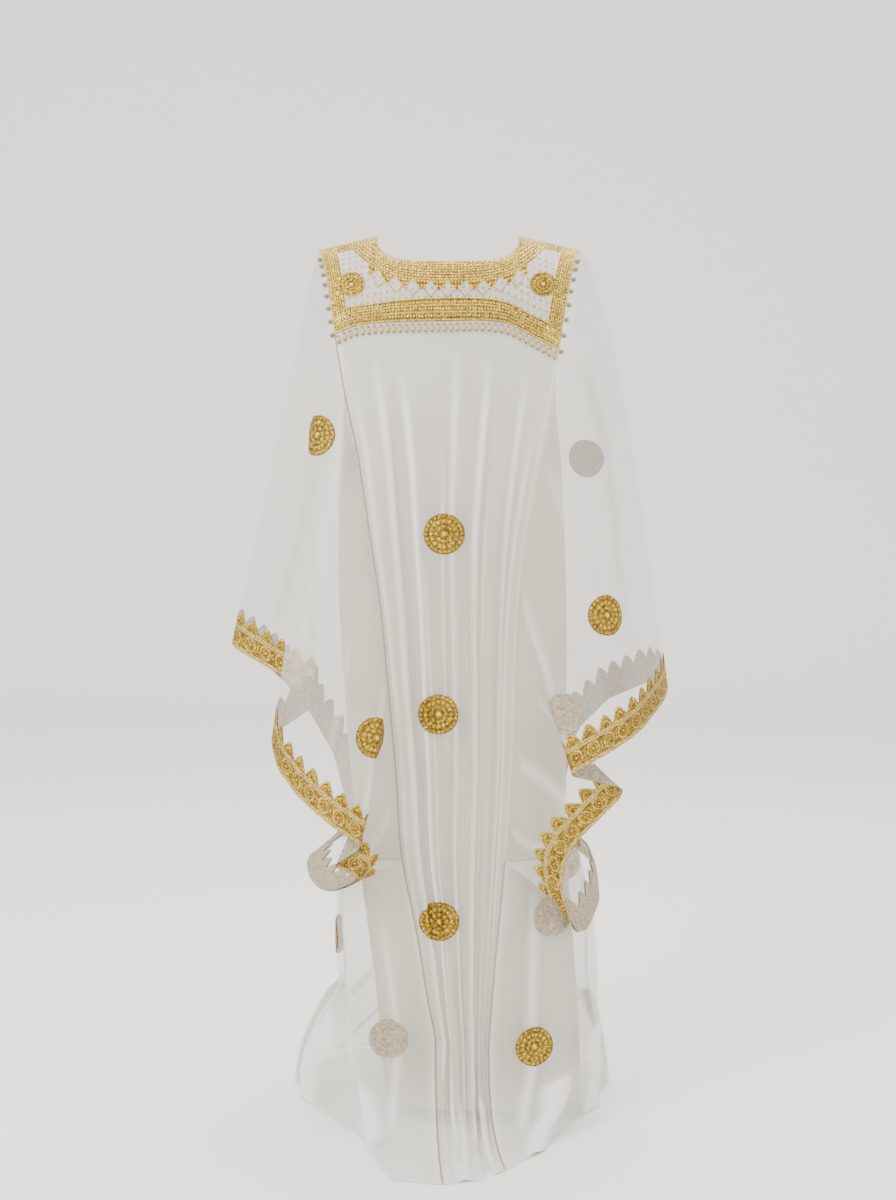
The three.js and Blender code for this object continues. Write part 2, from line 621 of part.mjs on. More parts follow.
/** A point of a sleeve: a column runs from the armhole (out 0) to the mouth (out 1). */
function sleevePoint(side, column, out) {
  const s = column.mouth;
  const from = armholePoint(side, column.armhole);
  const to = mouthPoint(side, s);
  const point = from.clone().lerp(to, out);
  const facing = Math.cos((s - 0.5) * 2 * Math.PI);
  const high = Math.max(facing, 0) ** 1.5;
  const hump = Math.sin(Math.PI * out ** 0.62);
  point.x += Math.sign(to.x) * SLEEVE_FULLNESS[side] * high * hump;
  const backFront = -Math.sin(2 * Math.PI * s);
  point.y += backFront * SLEEVE_FULLNESS.depth * hump * smooth((0.5 - Math.abs(0.5 - s)) * 5);
  const fold = SLEEVE_FOLDS.reduce((sum, row) => sum + row.depth * ridge(s - row.at, row.width), 0);
  point.y += Math.sign(backFront) * fold * smooth(out * 1.4) * (1 - 0.35 * out);
  const under = 1 - smooth((Math.min(column.armhole, 1 - column.armhole) - 0.08) * 12);
  const clear = UNDERARM_LAP * 1.3 * under * smooth(out * 6) * (1 - out * out);
  return point.addScaledVector(goreOutward(side, point), clear);
}

// ---------------------------------------------------------------- lining

const liningAt = {
  left: reader(LINING, 'z', 'left'),
  right: reader(LINING, 'z', 'right'),
  depth: reader(LINING, 'z', 'depth'),
};

/** A point of the lining's half: "across" 0 at the left side seam, 1 at the right one. */
function liningPoint(isBack, across, down) {
  const sign = isBack ? -1 : 1;
  const edge = 0.14;
  const tucked = clamp01((across - edge) / (1 - 2 * edge));
  const yokeShare = lerp(0.04, 0.96, tucked);
  const lipZ = (isBack ? yokeHemAt.back(yokeShare) : yokeHemAt.front(yokeShare)) + LINING_TUCK;
  const lip = ringPoint(isBack ? yokeShare : 3 - yokeShare, lipZ);
  lip.y -= sign * (YOKE_WALL / 2 + SEAM_GAP + CLOTH / 2);
  const beyond = 1 - clamp01(Math.min(across, 1 - across) / edge);
  const sideX = across < 0.5 ? liningAt.left(LINING_ARMHOLE_Z) : liningAt.right(LINING_ARMHOLE_Z);
  const top = lip.clone();
  top.x = lerp(lip.x, sideX, Math.sin((beyond * Math.PI) / 2));
  top.y = lerp(lip.y, 0, smooth(beyond) * 0.4 + beyond * 0.6);
  top.z = lerp(lip.z, LINING_ARMHOLE_Z, smooth(beyond));
  const z = lerp(top.z, LINING_HEM_Z, down);
  const left = liningAt.left(z);
  const right = liningAt.right(z);
  const angle = (1 - across) * Math.PI;
  const middle = (left + right) / 2;
  const x = middle + ((right - left) / 2) * Math.sign(Math.cos(angle)) * Math.abs(Math.cos(angle)) ** 0.85;
  const y = sign * liningAt.depth(z) * Math.sin(angle) ** 0.8;
  const settled = smooth((top.z - z) / 110);
  return new THREE.Vector3(lerp(top.x, x, settled), lerp(top.y, y, settled), z);
}

// ---------------------------------------------------------------- sheets

/**
 * A grid of middle points with a normal at each. Trims are sampled from the very facets of the wall,
 * so that they lie on it with an even gap.
 */
class Sheet {
  /**
   * @param {number[]} us positions of the columns
   * @param {number[]} vs positions of the rows
   * @param {(u: number, v: number) => THREE.Vector3} surface middle of the wall
   * @param {object} options facing: the way its outside looks at "probe", a share of its columns;
   *   closed: whether the columns join up; pull: how far each edge is drawn in
   */
  constructor(us, vs, surface, { facing, probe = 0.5, closed = false, pull = {}, edgeNormals = {} }) {
    this.us = us;
    this.vs = vs;
    this.closed = closed;
    this.points = vs.map((v) => us.map((u) => surface(u, v)));
    const sample = this.normalAt(Math.round(probe * (us.length - 1)), Math.floor(vs.length / 3));
    this.hand = Math.sign(sample.dot(facing));
    this.normals = this.points.map((row, j) =>
      row.map((_, i) => this.normalAt(i, j).multiplyScalar(this.hand)),
    );
    this.applyEdgeNormals(edgeNormals);
    this.drawIn(pull);
  }

  /** Sum of the directions that the facets round a grid point face. */
  normalAt(i, j) {
    const total = new THREE.Vector3();
    for (const column of [i - 1, i]) {
      for (const row of [j - 1, j]) total.add(this.cellNormal(column, row));
    }
    return total.normalize();
  }

  /** The way that the cell right of column i and below row j faces, or nothing beyond the edges. */
  cellNormal(i, j) {
    const count = this.us.length;
    if (j < 0 || j > this.vs.length - 2) return new THREE.Vector3();
    if (!this.closed && (i < 0 || i > count - 2)) return new THREE.Vector3();
    const left = (i + count) % count;
    const right = (left + 1) % count;
    const first = this.points[j + 1][right].clone().sub(this.points[j][left]);
    const second = this.points[j + 1][left].clone().sub(this.points[j][right]);
    return first.cross(second).normalize();
  }

  applyEdgeNormals({ first, last, top }) {
    const lastColumn = this.us.length - 1;
    this.points.forEach((row, j) => {
      if (first) this.normals[j][0] = first(this.vs[j]);
      if (last) this.normals[j][lastColumn] = last(this.vs[j]);
    });
    if (top) this.normals[0] = this.points[0].map((point, i) => top(point, this.us[i], this.normals[0][i]));
  }

  drawIn({ first = 0, last = 0, top = 0, bottom = 0 }) {
    const columns = this.us.length;
    const rows = this.vs.length;
    const wrap = (i) => (this.closed ? (i + columns) % columns : Math.min(Math.max(i, 0), columns - 1));
    const old = this.points.map((row) => row.map((point) => point.clone()));
    const shift = (i, j, towards, edgeFrom, edgeTo, distance) => {
      const edge = edgeTo.clone().sub(edgeFrom).normalize();
      const step = towards.clone().sub(old[j][i]);
      step.addScaledVector(edge, -step.dot(edge)).normalize();
      this.points[j][i].addScaledVector(step, distance);
    };
    for (let j = 0; j < rows; j += 1) {
      const above = Math.max(j - 1, 0);
      const below = Math.min(j + 1, rows - 1);
      const end = columns - 1;
      if (first) shift(0, j, old[j][1], old[above][0], old[below][0], first);
      if (last) shift(end, j, old[j][end - 1], old[above][end], old[below][end], last);
    }
    for (let i = 0; i < columns; i += 1) {
      const end = rows - 1;
      if (top) shift(i, 0, old[1][i], old[0][wrap(i - 1)], old[0][wrap(i + 1)], top);
      if (bottom) shift(i, end, old[end - 1][i], old[end][wrap(i - 1)], old[end][wrap(i + 1)], bottom);
    }
  }

  vertex(i, j, offset) {
    const column = this.closed ? i % this.us.length : i;
    return this.points[j][column].clone().addScaledVector(this.normals[j][column], offset);
  }

  /** A point on the facet at column i and row j, both with fractions, moved out by the offset. */
  facet(i, j, offset) {
    const lastColumn = this.closed ? this.us.length - 1 : this.us.length - 2;
    const column = Math.min(Math.floor(i), lastColumn);
    const row = Math.min(Math.floor(j), this.vs.length - 2);
    const a = i - column;
    const b = j - row;
    const corner = this.vertex(column, row, offset);
    const across = this.vertex(column + 1, row, offset);
    const below = this.vertex(column, row + 1, offset);
    const far = this.vertex(column + 1, row + 1, offset);
    if (a >= b) {
      return corner
        .multiplyScalar(1 - a)
        .addScaledVector(across, a - b)
        .addScaledVector(far, b);
    }
    return corner
      .multiplyScalar(1 - b)
      .addScaledVector(below, b - a)
      .addScaledVector(far, a);
  }
}

/** Turns the faces of a closed solid round where they look inwards. */
function facingOut(geometry) {
  const position = geometry.getAttribute('position');
  const index = geometry.getIndex();
  const corner = (place) => new THREE.Vector3().fromBufferAttribute(position, index.getX(place));
  let volume = 0;
  for (let i = 0; i < index.count; i += 3) volume += corner(i).dot(corner(i + 1).cross(corner(i + 2)));
  if (volume > 0) return geometry;
  for (let i = 0; i < index.count; i += 3) {
    const first = index.getX(i);
    index.setX(i, index.getX(i + 1));
    index.setX(i + 1, first);
  }
  return geometry;
}

/** Closed solid from a flat net of corners and triangles: outer face, inner face and the rim. */
function slab(corners, triangles, outer, inner) {
  const vertices = [...corners.map(outer), ...corners.map(inner)];
  const count = corners.length;
  const faces = [];
  const edges = new Map();
  triangles.forEach(([a, b, c]) => {
    faces.push([a, b, c], [a + count, c + count, b + count]);
    [[a, b], [b, c], [c, a]].forEach(([from, to]) => {
      const twin = `${to}_${from}`;
      if (edges.has(twin)) edges.delete(twin);
      else edges.set(`${from}_${to}`, [from, to]);
    });
  });
  edges.forEach(([from, to]) => {
    faces.push([from, from + count, to + count], [from, to + count, to]);
  });
  const geometry = new THREE.BufferGeometry();
  const positions = new Float32Array(vertices.flatMap((vertex) => vertex.toArray()));
  geometry.setAttribute('position', new THREE.BufferAttribute(positions, 3));
  geometry.setIndex(faces.flat());
  return facingOut(geometry);
}

/** The wall of a whole sheet, or of some of its cells, between two offsets from its middle. */
function wall(sheet, low, high, { from = 0, to = null, top = 0, bottom = null, raise = null } = {}) {
  const lastColumn = to ?? (sheet.closed ? sheet.us.length : sheet.us.length - 1);
  const lastRow = bottom ?? sheet.vs.length - 1;
  const ring = sheet.closed && lastColumn - from === sheet.us.length;
  const columns = lastColumn - from + (ring ? 0 : 1);
  const corners = [];
  for (let j = top; j <= lastRow; j += 1) {
    for (let i = 0; i < columns; i += 1) corners.push({ i: from + i, j });
  }
  const triangles = [];
  const at = (i, j) => (j - top) * columns + (ring ? i % columns : i);
  for (let j = top; j < lastRow; j += 1) {
    for (let i = 0; i < lastColumn - from; i += 1) {
      triangles.push([at(i, j), at(i + 1, j), at(i + 1, j + 1)]);
      triangles.push([at(i, j), at(i + 1, j + 1), at(i, j + 1)]);
    }
  }
  const outerOffset = ({ i, j }) => high + (raise ? raise(sheet.us[i], sheet.vs[j]) : 0);
  return slab(
    corners,
    triangles,
    (corner) => sheet.vertex(corner.i, corner.j, outerOffset(corner)),
    (corner) => sheet.vertex(corner.i, corner.j, low),
  );
}

// ---------------------------------------------------------------- cutting

function toManifold(geometry) {
  const bare = new THREE.BufferGeometry();
  bare.setAttribute('position', geometry.getAttribute('position'));
  bare.setIndex(geometry.getIndex());
  const merged = mergeVertices(bare, 1e-4);
  return new wasm.Manifold(
    new wasm.Mesh({
      numProp: 3,
      vertProperties: new Float32Array(merged.getAttribute('position').array),
      triVerts: new Uint32Array(merged.getIndex().array),
    }),
  );
}

function fromManifold(solid) {
  const mesh = solid.getMesh();
  const geometry = new THREE.BufferGeometry();
  geometry.setAttribute('position', new THREE.BufferAttribute(mesh.vertProperties, 3));
  geometry.setIndex(new THREE.BufferAttribute(mesh.triVerts, 1));
  return geometry;
}

/** A round patch cut from the skin of a sheet, on its outer (face 1) or inner (face -1) side. */
function roundelOn(sheet, i, j, radius, face, reach) {
  const low = CLOTH / 2 + SEAM_GAP;
  const high = low + TRIM;
  const limits = {
    from: Math.max(Math.floor(i) - reach.columns, 0),
    to: Math.min(Math.ceil(i) + reach.columns, sheet.us.length - 1),
    top: Math.max(Math.floor(j) - reach.rows, 0),
    bottom: Math.min(Math.ceil(j) + reach.rows, sheet.vs.length - 1),
  };
  const skin = face > 0 ? wall(sheet, low, high, limits) : wall(sheet, -high, -low, limits);
  const centre = sheet.facet(i, j, 0);
  const normal = sheet.facet(i, j, 1).sub(centre).normalize();
  const cutter = new THREE.CylinderGeometry(radius, radius, reach.height, GRID.cutter);
  cutter.applyQuaternion(new THREE.Quaternion().setFromUnitVectors(new THREE.Vector3(0, 1, 0), normal));
  cutter.translate(centre.x, centre.y, centre.z);
  return fromManifold(toManifold(skin).intersect(toManifold(cutter)));
}

/** Column and row, with fractions, of the sheet's point that lies nearest to a place and height. */
function gridPlace(sheet, score) {
  let best = { cost: Infinity };
  const columns = sheet.us.length - 1;
  const rows = sheet.vs.length - 1;
  for (let i = 0; i <= columns; i += 0.25) {
    for (let j = 0; j <= rows; j += 0.125) {
      const cost = score(sheet.facet(i, j, 0), i);
      if (cost < best.cost) best = { cost, i, j };
    }
  }
  return best;
}

// ---------------------------------------------------------------- building the pieces

const dress = new THREE.Group();
dress.name = 'embroidered_tulle_dress';

function addPiece(name, geometry, finish) {
  const mesh = new THREE.Mesh(geometry, new THREE.MeshStandardMaterial(finish));
  mesh.name = name;
  dress.add(mesh);
}

const HALF = CLOTH / 2;
const PULL = SEAM_GAP / 2;

/** Columns that run on from a yoke into the panel below it, with one at each end of the neck. */
const centreColumns = [
  ...evenSteps(GRID.shoulder, 0, NECK_SHARE),
  ...evenSteps(GRID.neck, NECK_SHARE, 1 - NECK_SHARE).slice(1),
  ...evenSteps(GRID.shoulder, 1 - NECK_SHARE, 1).slice(1),
];

function dressPanel(from, columns, rows, facing) {
  return new Sheet(
    columns.map((across) => from + across),
    rows,
    dressPoint,
    {
      facing,
      pull: { first: PULL, last: PULL, top: PULL },
      edgeNormals: {
        first: (down) => seamFacing(from, down),
        last: (down) => seamFacing(from + 1, down),
      },
    },
  );
}

const centreRows = [...seamRows, ...lowerRows.slice(1)];
const goreColumns = evenSteps(GRID.goreColumns);
const bodyBack = dressPanel(0, centreColumns, centreRows, new THREE.Vector3(0, -1, 0));
const bodyFront = dressPanel(2, centreColumns, centreRows, new THREE.Vector3(0, 1, 0));
const gores = {
  right: dressPanel(1, goreColumns, lowerRows, new THREE.Vector3(1, 0, 0)),
  left: dressPanel(3, goreColumns, lowerRows, new THREE.Vector3(-1, 0, 0)),
};
addPiece('body_back', wall(bodyBack, -HALF, HALF), FINISH.tulle);
addPiece('body_front', wall(bodyFront, -HALF, HALF), FINISH.tulle);
addPiece('side_left', wall(gores.left, -HALF, HALF), FINISH.tulle);
addPiece('side_right', wall(gores.right, -HALF, HALF), FINISH.tulle);

function yokeSheet(isBack) {
  const upward = (point, across, own) =>
    Math.abs(point.x) > NECK_HALF - 0.01 ? yokeEdgeNormal(isBack, point.x > 0, 0) : own;
  return new Sheet(
    centreColumns,
    yokeRows,
    (across, down) => yokePoint(isBack, across, down),
    {
      facing: new THREE.Vector3(0, isBack ? -1 : 1, 0.2),
      pull: { first: PULL, last: PULL, top: PULL, bottom: PULL },
      edgeNormals: {
        first: (down) => yokeEdgeNormal(isBack, false, down),
        last: (down) => yokeEdgeNormal(isBack, true, down),
        top: upward,
      },
    },
  );
}

const yokes = { back: yokeSheet(true), front: yokeSheet(false) };
const yokeHalf = YOKE_WALL / 2;

addPiece('yoke_back', wall(yokes.back, -yokeHalf, yokeHalf, { raise: yokeRaise }), FINISH.net);
addPiece('yoke_front', wall(yokes.front, -yokeHalf, yokeHalf, { raise: yokeRaise }), FINISH.net);

/** Cord sewn round the neck opening, just inside the yokes' edge. */
function neckBinding() {
  const sides = GRID.bindingSides;
  const around = GRID.neck * 2;
  const neckShares = evenSteps(GRID.neck, NECK_SHARE, 1 - NECK_SHARE);
  const edgePoints = [
    ...neckShares.map((across) => yokePoint(true, across, 0)),
    ...neckShares.slice(1, -1).reverse().map((across) => yokePoint(false, across, 0)),
  ];
  const centres = edgePoints.map((edge) => {
    const inward = new THREE.Vector3(-edge.x, -edge.y, 0).normalize();
    return edge.addScaledVector(inward, BINDING_RADIUS + YOKE_WALL / 2);
  });
  const centre = (i) => centres[(i + around) % around];
  const corners = [];
  for (let i = 0; i < around; i += 1) {
    const along = centre(i + 1).clone().sub(centre(i - 1)).normalize();
    const outward = new THREE.Vector3(0, 0, 1).cross(along).normalize();
    const up = along.clone().cross(outward);
    evenSteps(sides, 0, 2 * Math.PI).slice(0, -1).forEach((angle) => {
      corners.push(
        centre(i)
          .clone()
          .addScaledVector(outward, BINDING_RADIUS * Math.cos(angle))
          .addScaledVector(up, BINDING_RADIUS * Math.sin(angle)),
      );
    });
  }
  const faces = [];
  for (let i = 0; i < around; i += 1) {
    for (let k = 0; k < sides; k += 1) {
      const next = (i + 1) % around;
      const turn = (k + 1) % sides;
      faces.push(i * sides + k, next * sides + k, next * sides + turn);
      faces.push(i * sides + k, next * sides + turn, i * sides + turn);
    }
  }
  const geometry = new THREE.BufferGeometry();
  geometry.setAttribute(
    'position',
    new THREE.BufferAttribute(new Float32Array(corners.flatMap((corner) => corner.toArray())), 3),
  );
  geometry.setIndex(faces);
  return facingOut(geometry);
}

addPiece('neck_binding', neckBinding(), FINISH.gold);

// Sleeves and their scalloped trims.

/** Sleeve rows: even down to the trim, then one at the foot of the points and one at the mouth. */
function sleeveSheet(side) {
  const columns = sleeveColumns(side, GRID.sleeve.columns);
  const rows = Array.from({ length: GRID.sleeve.rows + 3 }, (_, row) => row);
  const last = rows.length - 1;
  const surface = (column, row) => {
    const length = armholePoint(side, column.armhole).distanceTo(mouthPoint(side, column.mouth));
    const foot = 1 - BAND_WIDTH / length;
    const tip = Math.max(1 - (BAND_WIDTH + SCALLOP_HEIGHT) / length, 0.04);
    if (row === last) return sleevePoint(side, column, 1);
    if (row === last - 1) return sleevePoint(side, column, foot);
    return sleevePoint(side, column, (tip * row) / (last - 2));
  };
  return new Sheet(columns, rows, surface, {
    facing: new THREE.Vector3(0, -1, 0),
    probe: 0.3,
    closed: true,
    pull: { top: PULL },
    edgeNormals: { top: (point, column, own) => armholeNormal(side, column.armhole, own) },
  });
}

/** Cuff trim: a straight band along the mouth with a pointed arch above it in every column. */
function cuffTrim(sheet, low, high) {
  const columns = sheet.us.length;
  const last = sheet.vs.length - 1;
  const tip = { across: 0.5, up: 0.96 };
  const crease = 1 / (1 + tip.up / tip.across);
  const corners = [];
  for (let i = 0; i < columns; i += 1) {
    corners.push({ i, j: last }, { i, j: last - 1 });
    corners.push({ i: i + crease, j: last - 2 + crease }, { i: i + tip.across, j: last - 1 - tip.up });
  }
  const per = 4;
  const triangles = [];
  for (let i = 0; i < columns; i += 1) {
    const [mouth, foot, fold, point] = [0, 1, 2, 3].map((step) => i * per + step);
    const next = ((i + 1) % columns) * per;
    triangles.push([foot, next + 1, next], [foot, next, mouth]);
    triangles.push([foot, fold, next + 1], [fold, point, next + 1]);
  }
  const place = (offset) => (corner) => sheet.facet(corner.i, corner.j, offset);
  return slab(corners, triangles, place(high), place(low));
}

const sleeves = { left: sleeveSheet('left'), right: sleeveSheet('right') };
const trimLow = HALF + SEAM_GAP;
['left', 'right'].forEach((side) => {
  addPiece(`sleeve_${side}`, wall(sleeves[side], -HALF, HALF), FINISH.tulle);
  addPiece(`cuff_${side}`, cuffTrim(sleeves[side], trimLow, trimLow + TRIM), FINISH.gold);
});

// Drop fringe under each yoke.

/** A narrow strip along the top of a centre panel, with one drop hanging in every column. */
function dropFringe(sheet) {
  const columns = sheet.us.length - 1;
  const corners = [];
  const triangles = [];
  const clear = 0.08;
  for (let i = 0; i <= columns; i += 1) {
    const column = Math.min(Math.max(i, clear), columns - clear);
    corners.push({ i: column, j: 0.04 }, { i: column, j: 0.3 });
  }
  for (let i = 0; i < columns; i += 1) {
    const here = i * 2;
    const first = corners.length;
    corners.push({ i: i + 0.4, j: 0.3 }, { i: i + 0.6, j: 0.3 });
    corners.push({ i: i + 0.22, j: 0.72 }, { i: i + 0.78, j: 0.72 }, { i: i + 0.5, j: 0.98 });
    triangles.push([here, here + 1, first], [here, first, first + 1], [here, first + 1, here + 2]);
    triangles.push([here + 2, first + 1, here + 3]);
    triangles.push([first, first + 2, first + 4], [first, first + 4, first + 1]);
    triangles.push([first + 1, first + 4, first + 3]);
  }
  const place = (offset) => (corner) => sheet.facet(corner.i, corner.j, offset);
  return slab(corners, triangles, place(trimLow + TRIM), place(trimLow));
}

addPiece('drop_fringe_back', dropFringe(bodyBack), FINISH.gold);
addPiece('drop_fringe_front', dropFringe(bodyFront), FINISH.gold);

// Lining, sewn in behind the yokes' lower edges.

function liningSheet(isBack) {
  return new Sheet(
    evenSteps(GRID.lining.columns),
    evenSteps(GRID.lining.rows),
    (across, down) => liningPoint(isBack, across, down),
    {
      facing: new THREE.Vector3(0, isBack ? -1 : 1, 0),
      pull: { first: PULL, last: PULL },
      edgeNormals: {
        first: () => new THREE.Vector3(-1, 0, 0),
        last: () => new THREE.Vector3(1, 0, 0),
      },
    },
  );
}

addPiece('lining_back', wall(liningSheet(true), -HALF, HALF), FINISH.lining);
addPiece('lining_front', wall(liningSheet(false), -HALF, HALF), FINISH.lining);

// Roundels.

const patchReach = { columns: 9, rows: 3, height: 60 };
BACK_ROUNDELS.forEach(({ name, x, z }) => {
  const spot = gridPlace(bodyBack, (point) => Math.hypot(point.x - x, point.z - z));
  addPiece(name, roundelOn(bodyBack, spot.i, spot.j, ROUNDEL_RADIUS, 1, patchReach), FINISH.gold);
});

SLEEVE_ROUNDELS.forEach(({ name, side, s, z, face }) => {
  const sheet = sleeves[side];
  const column = sheet.us.findIndex((entry) => entry.mouth >= s);
  const spot = gridPlace(sheet, (point, i) => Math.abs(point.z - z) + Math.abs(i - column) * 40);
  const reach = { columns: 4, rows: 2, height: 44 };
  addPiece(name, roundelOn(sheet, spot.i, spot.j, ROUNDEL_RADIUS, face, reach), FINISH.gold);
});

GORE_ROUNDELS.forEach(({ name, panel, at, z, face }) => {
  const sheet = gores[panel];
  const column = (at - sheet.us[0]) * (sheet.us.length - 1);
  const spot = gridPlace(sheet, (point, i) => Math.abs(point.z - z) + Math.abs(i - column) * 40);
  const reach = { columns: 6, rows: 2, height: 50 };
  addPiece(name, roundelOn(sheet, spot.i, spot.j, ROUNDEL_RADIUS, face, reach), FINISH.gold);
});

export default dress;
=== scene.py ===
"""Embroidered tulle dress, dressed over its solid frame.

Every sheet of cloth is a grid laid on a surface that is worked out from short tables, in millimetres,
in the frame of the part: +Z up, the back of the dress towards -Y, the wearer's left towards -X.
Embroidery is a denser grid on the same surface, with its threads raised and marked by attributes.
"""

from __future__ import annotations

import logging
import math
from dataclasses import dataclass, field
from enum import Enum
from typing import Callable, Sequence

import bpy
import numpy as np
from mathutils import Matrix, Vector


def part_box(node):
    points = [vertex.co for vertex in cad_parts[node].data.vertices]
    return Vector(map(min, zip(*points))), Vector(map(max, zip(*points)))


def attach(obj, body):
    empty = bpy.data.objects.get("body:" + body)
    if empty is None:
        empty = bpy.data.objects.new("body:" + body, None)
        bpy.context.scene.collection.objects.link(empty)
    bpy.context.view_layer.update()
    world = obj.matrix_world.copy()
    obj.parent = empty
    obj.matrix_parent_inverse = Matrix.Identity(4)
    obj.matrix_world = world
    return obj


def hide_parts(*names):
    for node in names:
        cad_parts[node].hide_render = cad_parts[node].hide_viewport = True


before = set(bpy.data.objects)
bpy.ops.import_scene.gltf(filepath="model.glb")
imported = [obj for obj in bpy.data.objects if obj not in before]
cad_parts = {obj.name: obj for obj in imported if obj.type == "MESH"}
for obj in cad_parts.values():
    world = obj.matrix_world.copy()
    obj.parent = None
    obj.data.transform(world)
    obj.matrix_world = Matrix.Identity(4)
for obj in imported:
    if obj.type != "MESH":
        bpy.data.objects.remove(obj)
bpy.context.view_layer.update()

LOG = logging.getLogger("dress")
MM = 0.001
Array = np.ndarray
Surface = Callable[[Array, Array], Array]

# ---------------------------------------------------------------- driving sizes, in millimetres

FLOOR_Z = -1370.0
HEM_LIFT = 1.4
NECK_HALF = 114.0
SHOULDER_LEFT = -198.0
SHOULDER_RIGHT = 203.0
SHOULDER_DROP = 20.0
NECK_SHARE = 0.2
SLEEVE_SEAM_Z = -941.0
SLEEVE_SEAM_SHARE = 0.75
UNDERARM_LAP = 6.0
UNDERARM_LIFT = 2.0
GORE_MIDDLE = {"left": -60.0, "right": 90.0}
GORE_ROUNDNESS = 0.8
BAND_WIDTH = 36.0
SCALLOP_HEIGHT = 19.0
SCALLOP_ROUNDNESS = 1.5
SCALLOPS = 48
ROUNDEL_RADIUS = 30.5
YOKE_ROUNDEL_RADIUS = 21.5
FULL_CREST = 3.2


class Side(Enum):
    """The wearer's two sides."""

    LEFT = "left"
    RIGHT = "right"

    @property
    def sign(self) -> float:
        """-1 on the wearer's left, +1 on the right."""
        return -1.0 if self is Side.LEFT else 1.0


class Half(Enum):
    """The two halves of the dress, parted by the side seams."""

    BACK = "back"
    FRONT = "front"

    @property
    def sign(self) -> float:
        """-1 at the back, +1 at the front."""
        return -1.0 if self is Half.BACK else 1.0


# ---------------------------------------------------------------- tables


class Table:
    """Rows of numbers under named columns, read between rows by the first column."""

    def __init__(self, columns: str, *rows: Sequence[float]) -> None:
        """Store the rows, sorted by the first column.

        Args:
            columns: names, parted by spaces; the first is the one that the rest are read by.
            *rows: one row of numbers for each section.
        """
        self.names = columns.split()
        self.data = np.array(sorted(rows), dtype=float)
        self.key = self.data[:, 0]

    def column(self, name: str) -> Array:
        """Return a column.

        Args:
            name: the column's name.

        Returns:
            Its numbers.
        """
        return self.data[:, self.names.index(name)]

    def smooth(self, name: str, at: Array) -> Array:
        """Read a column with a smooth curve through its rows.

        Args:
            name: the column to read.
            at: places along the first column.

        Returns:
            The values there.
        """
        key, value = self.key, self.column(name)
        low = np.maximum(np.arange(len(key)) - 1, 0)
        high = np.minimum(np.arange(len(key)) + 1, len(key) - 1)
        slope = (value[high] - value[low]) / (key[high] - key[low])
        place = np.clip(at, key[0], key[-1])
        row = np.clip(np.searchsorted(key, place, side="right") - 1, 0, len(key) - 2)
        span = key[row + 1] - key[row]
        t = (place - key[row]) / span
        rise = value[row + 1] - value[row]
        enter, leave = slope[row] * span, slope[row + 1] * span
        bend = 3 * rise - 2 * enter - leave + t * (enter + leave - 2 * rise)
        return value[row] + t * (enter + t * bend)

    def around(self, name: str, at: Array, turn: float) -> Array:
        """Read a column straight between rows, round and round.

        Args:
            name: the column to read.
            at: places along the first column.
            turn: length of one turn.

        Returns:
            The values there.
        """
        return np.interp(at, self.key, self.column(name), period=turn)


CENTRE_SEAMS = Table(
    "z back_left back_right front_left front_right",
    (-120, -173, 171, -170, 170),
    (-172, -165, 165, -163, 163),
    (-245, -152, 152, -150, 150),
    (-319, -136, 137, -137, 137),
    (-452, -116, 114, -117, 117),
    (-557, -101, 103, -104, 106),
    (-678, -90, 98, -94, 98),
    (-802, -79, 94, -84, 94),
    (-933, -70, 86, -76, 90),
    (-1056, -47, 75, -68, 86),
    (-1161, -30, 66, -60, 82),
    (-1244, -15, 61, -55, 80),
    (-1370, -8, 60, -50, 80),
)
BODY_DEPTHS = Table(
    "z back front bow_back bow_front",
    (-120, 108, 100, 27, 30),
    (-170, 118, 112, 24, 26),
    (-250, 126, 126, 20, 22),
    (-400, 130, 130, 14, 16),
    (-700, 130, 128, 8, 8),
    (-1000, 130, 128, 4, 4),
    (-1370, 132, 130, 2, 2),
)
GORE_SIDES = Table(
    "z left right",
    (-935, -157, 202),
    (-990, -168, 214),
    (-1040, -172, 223),
    (-1170, -165, 229),
    (-1370, -165, 230),
)
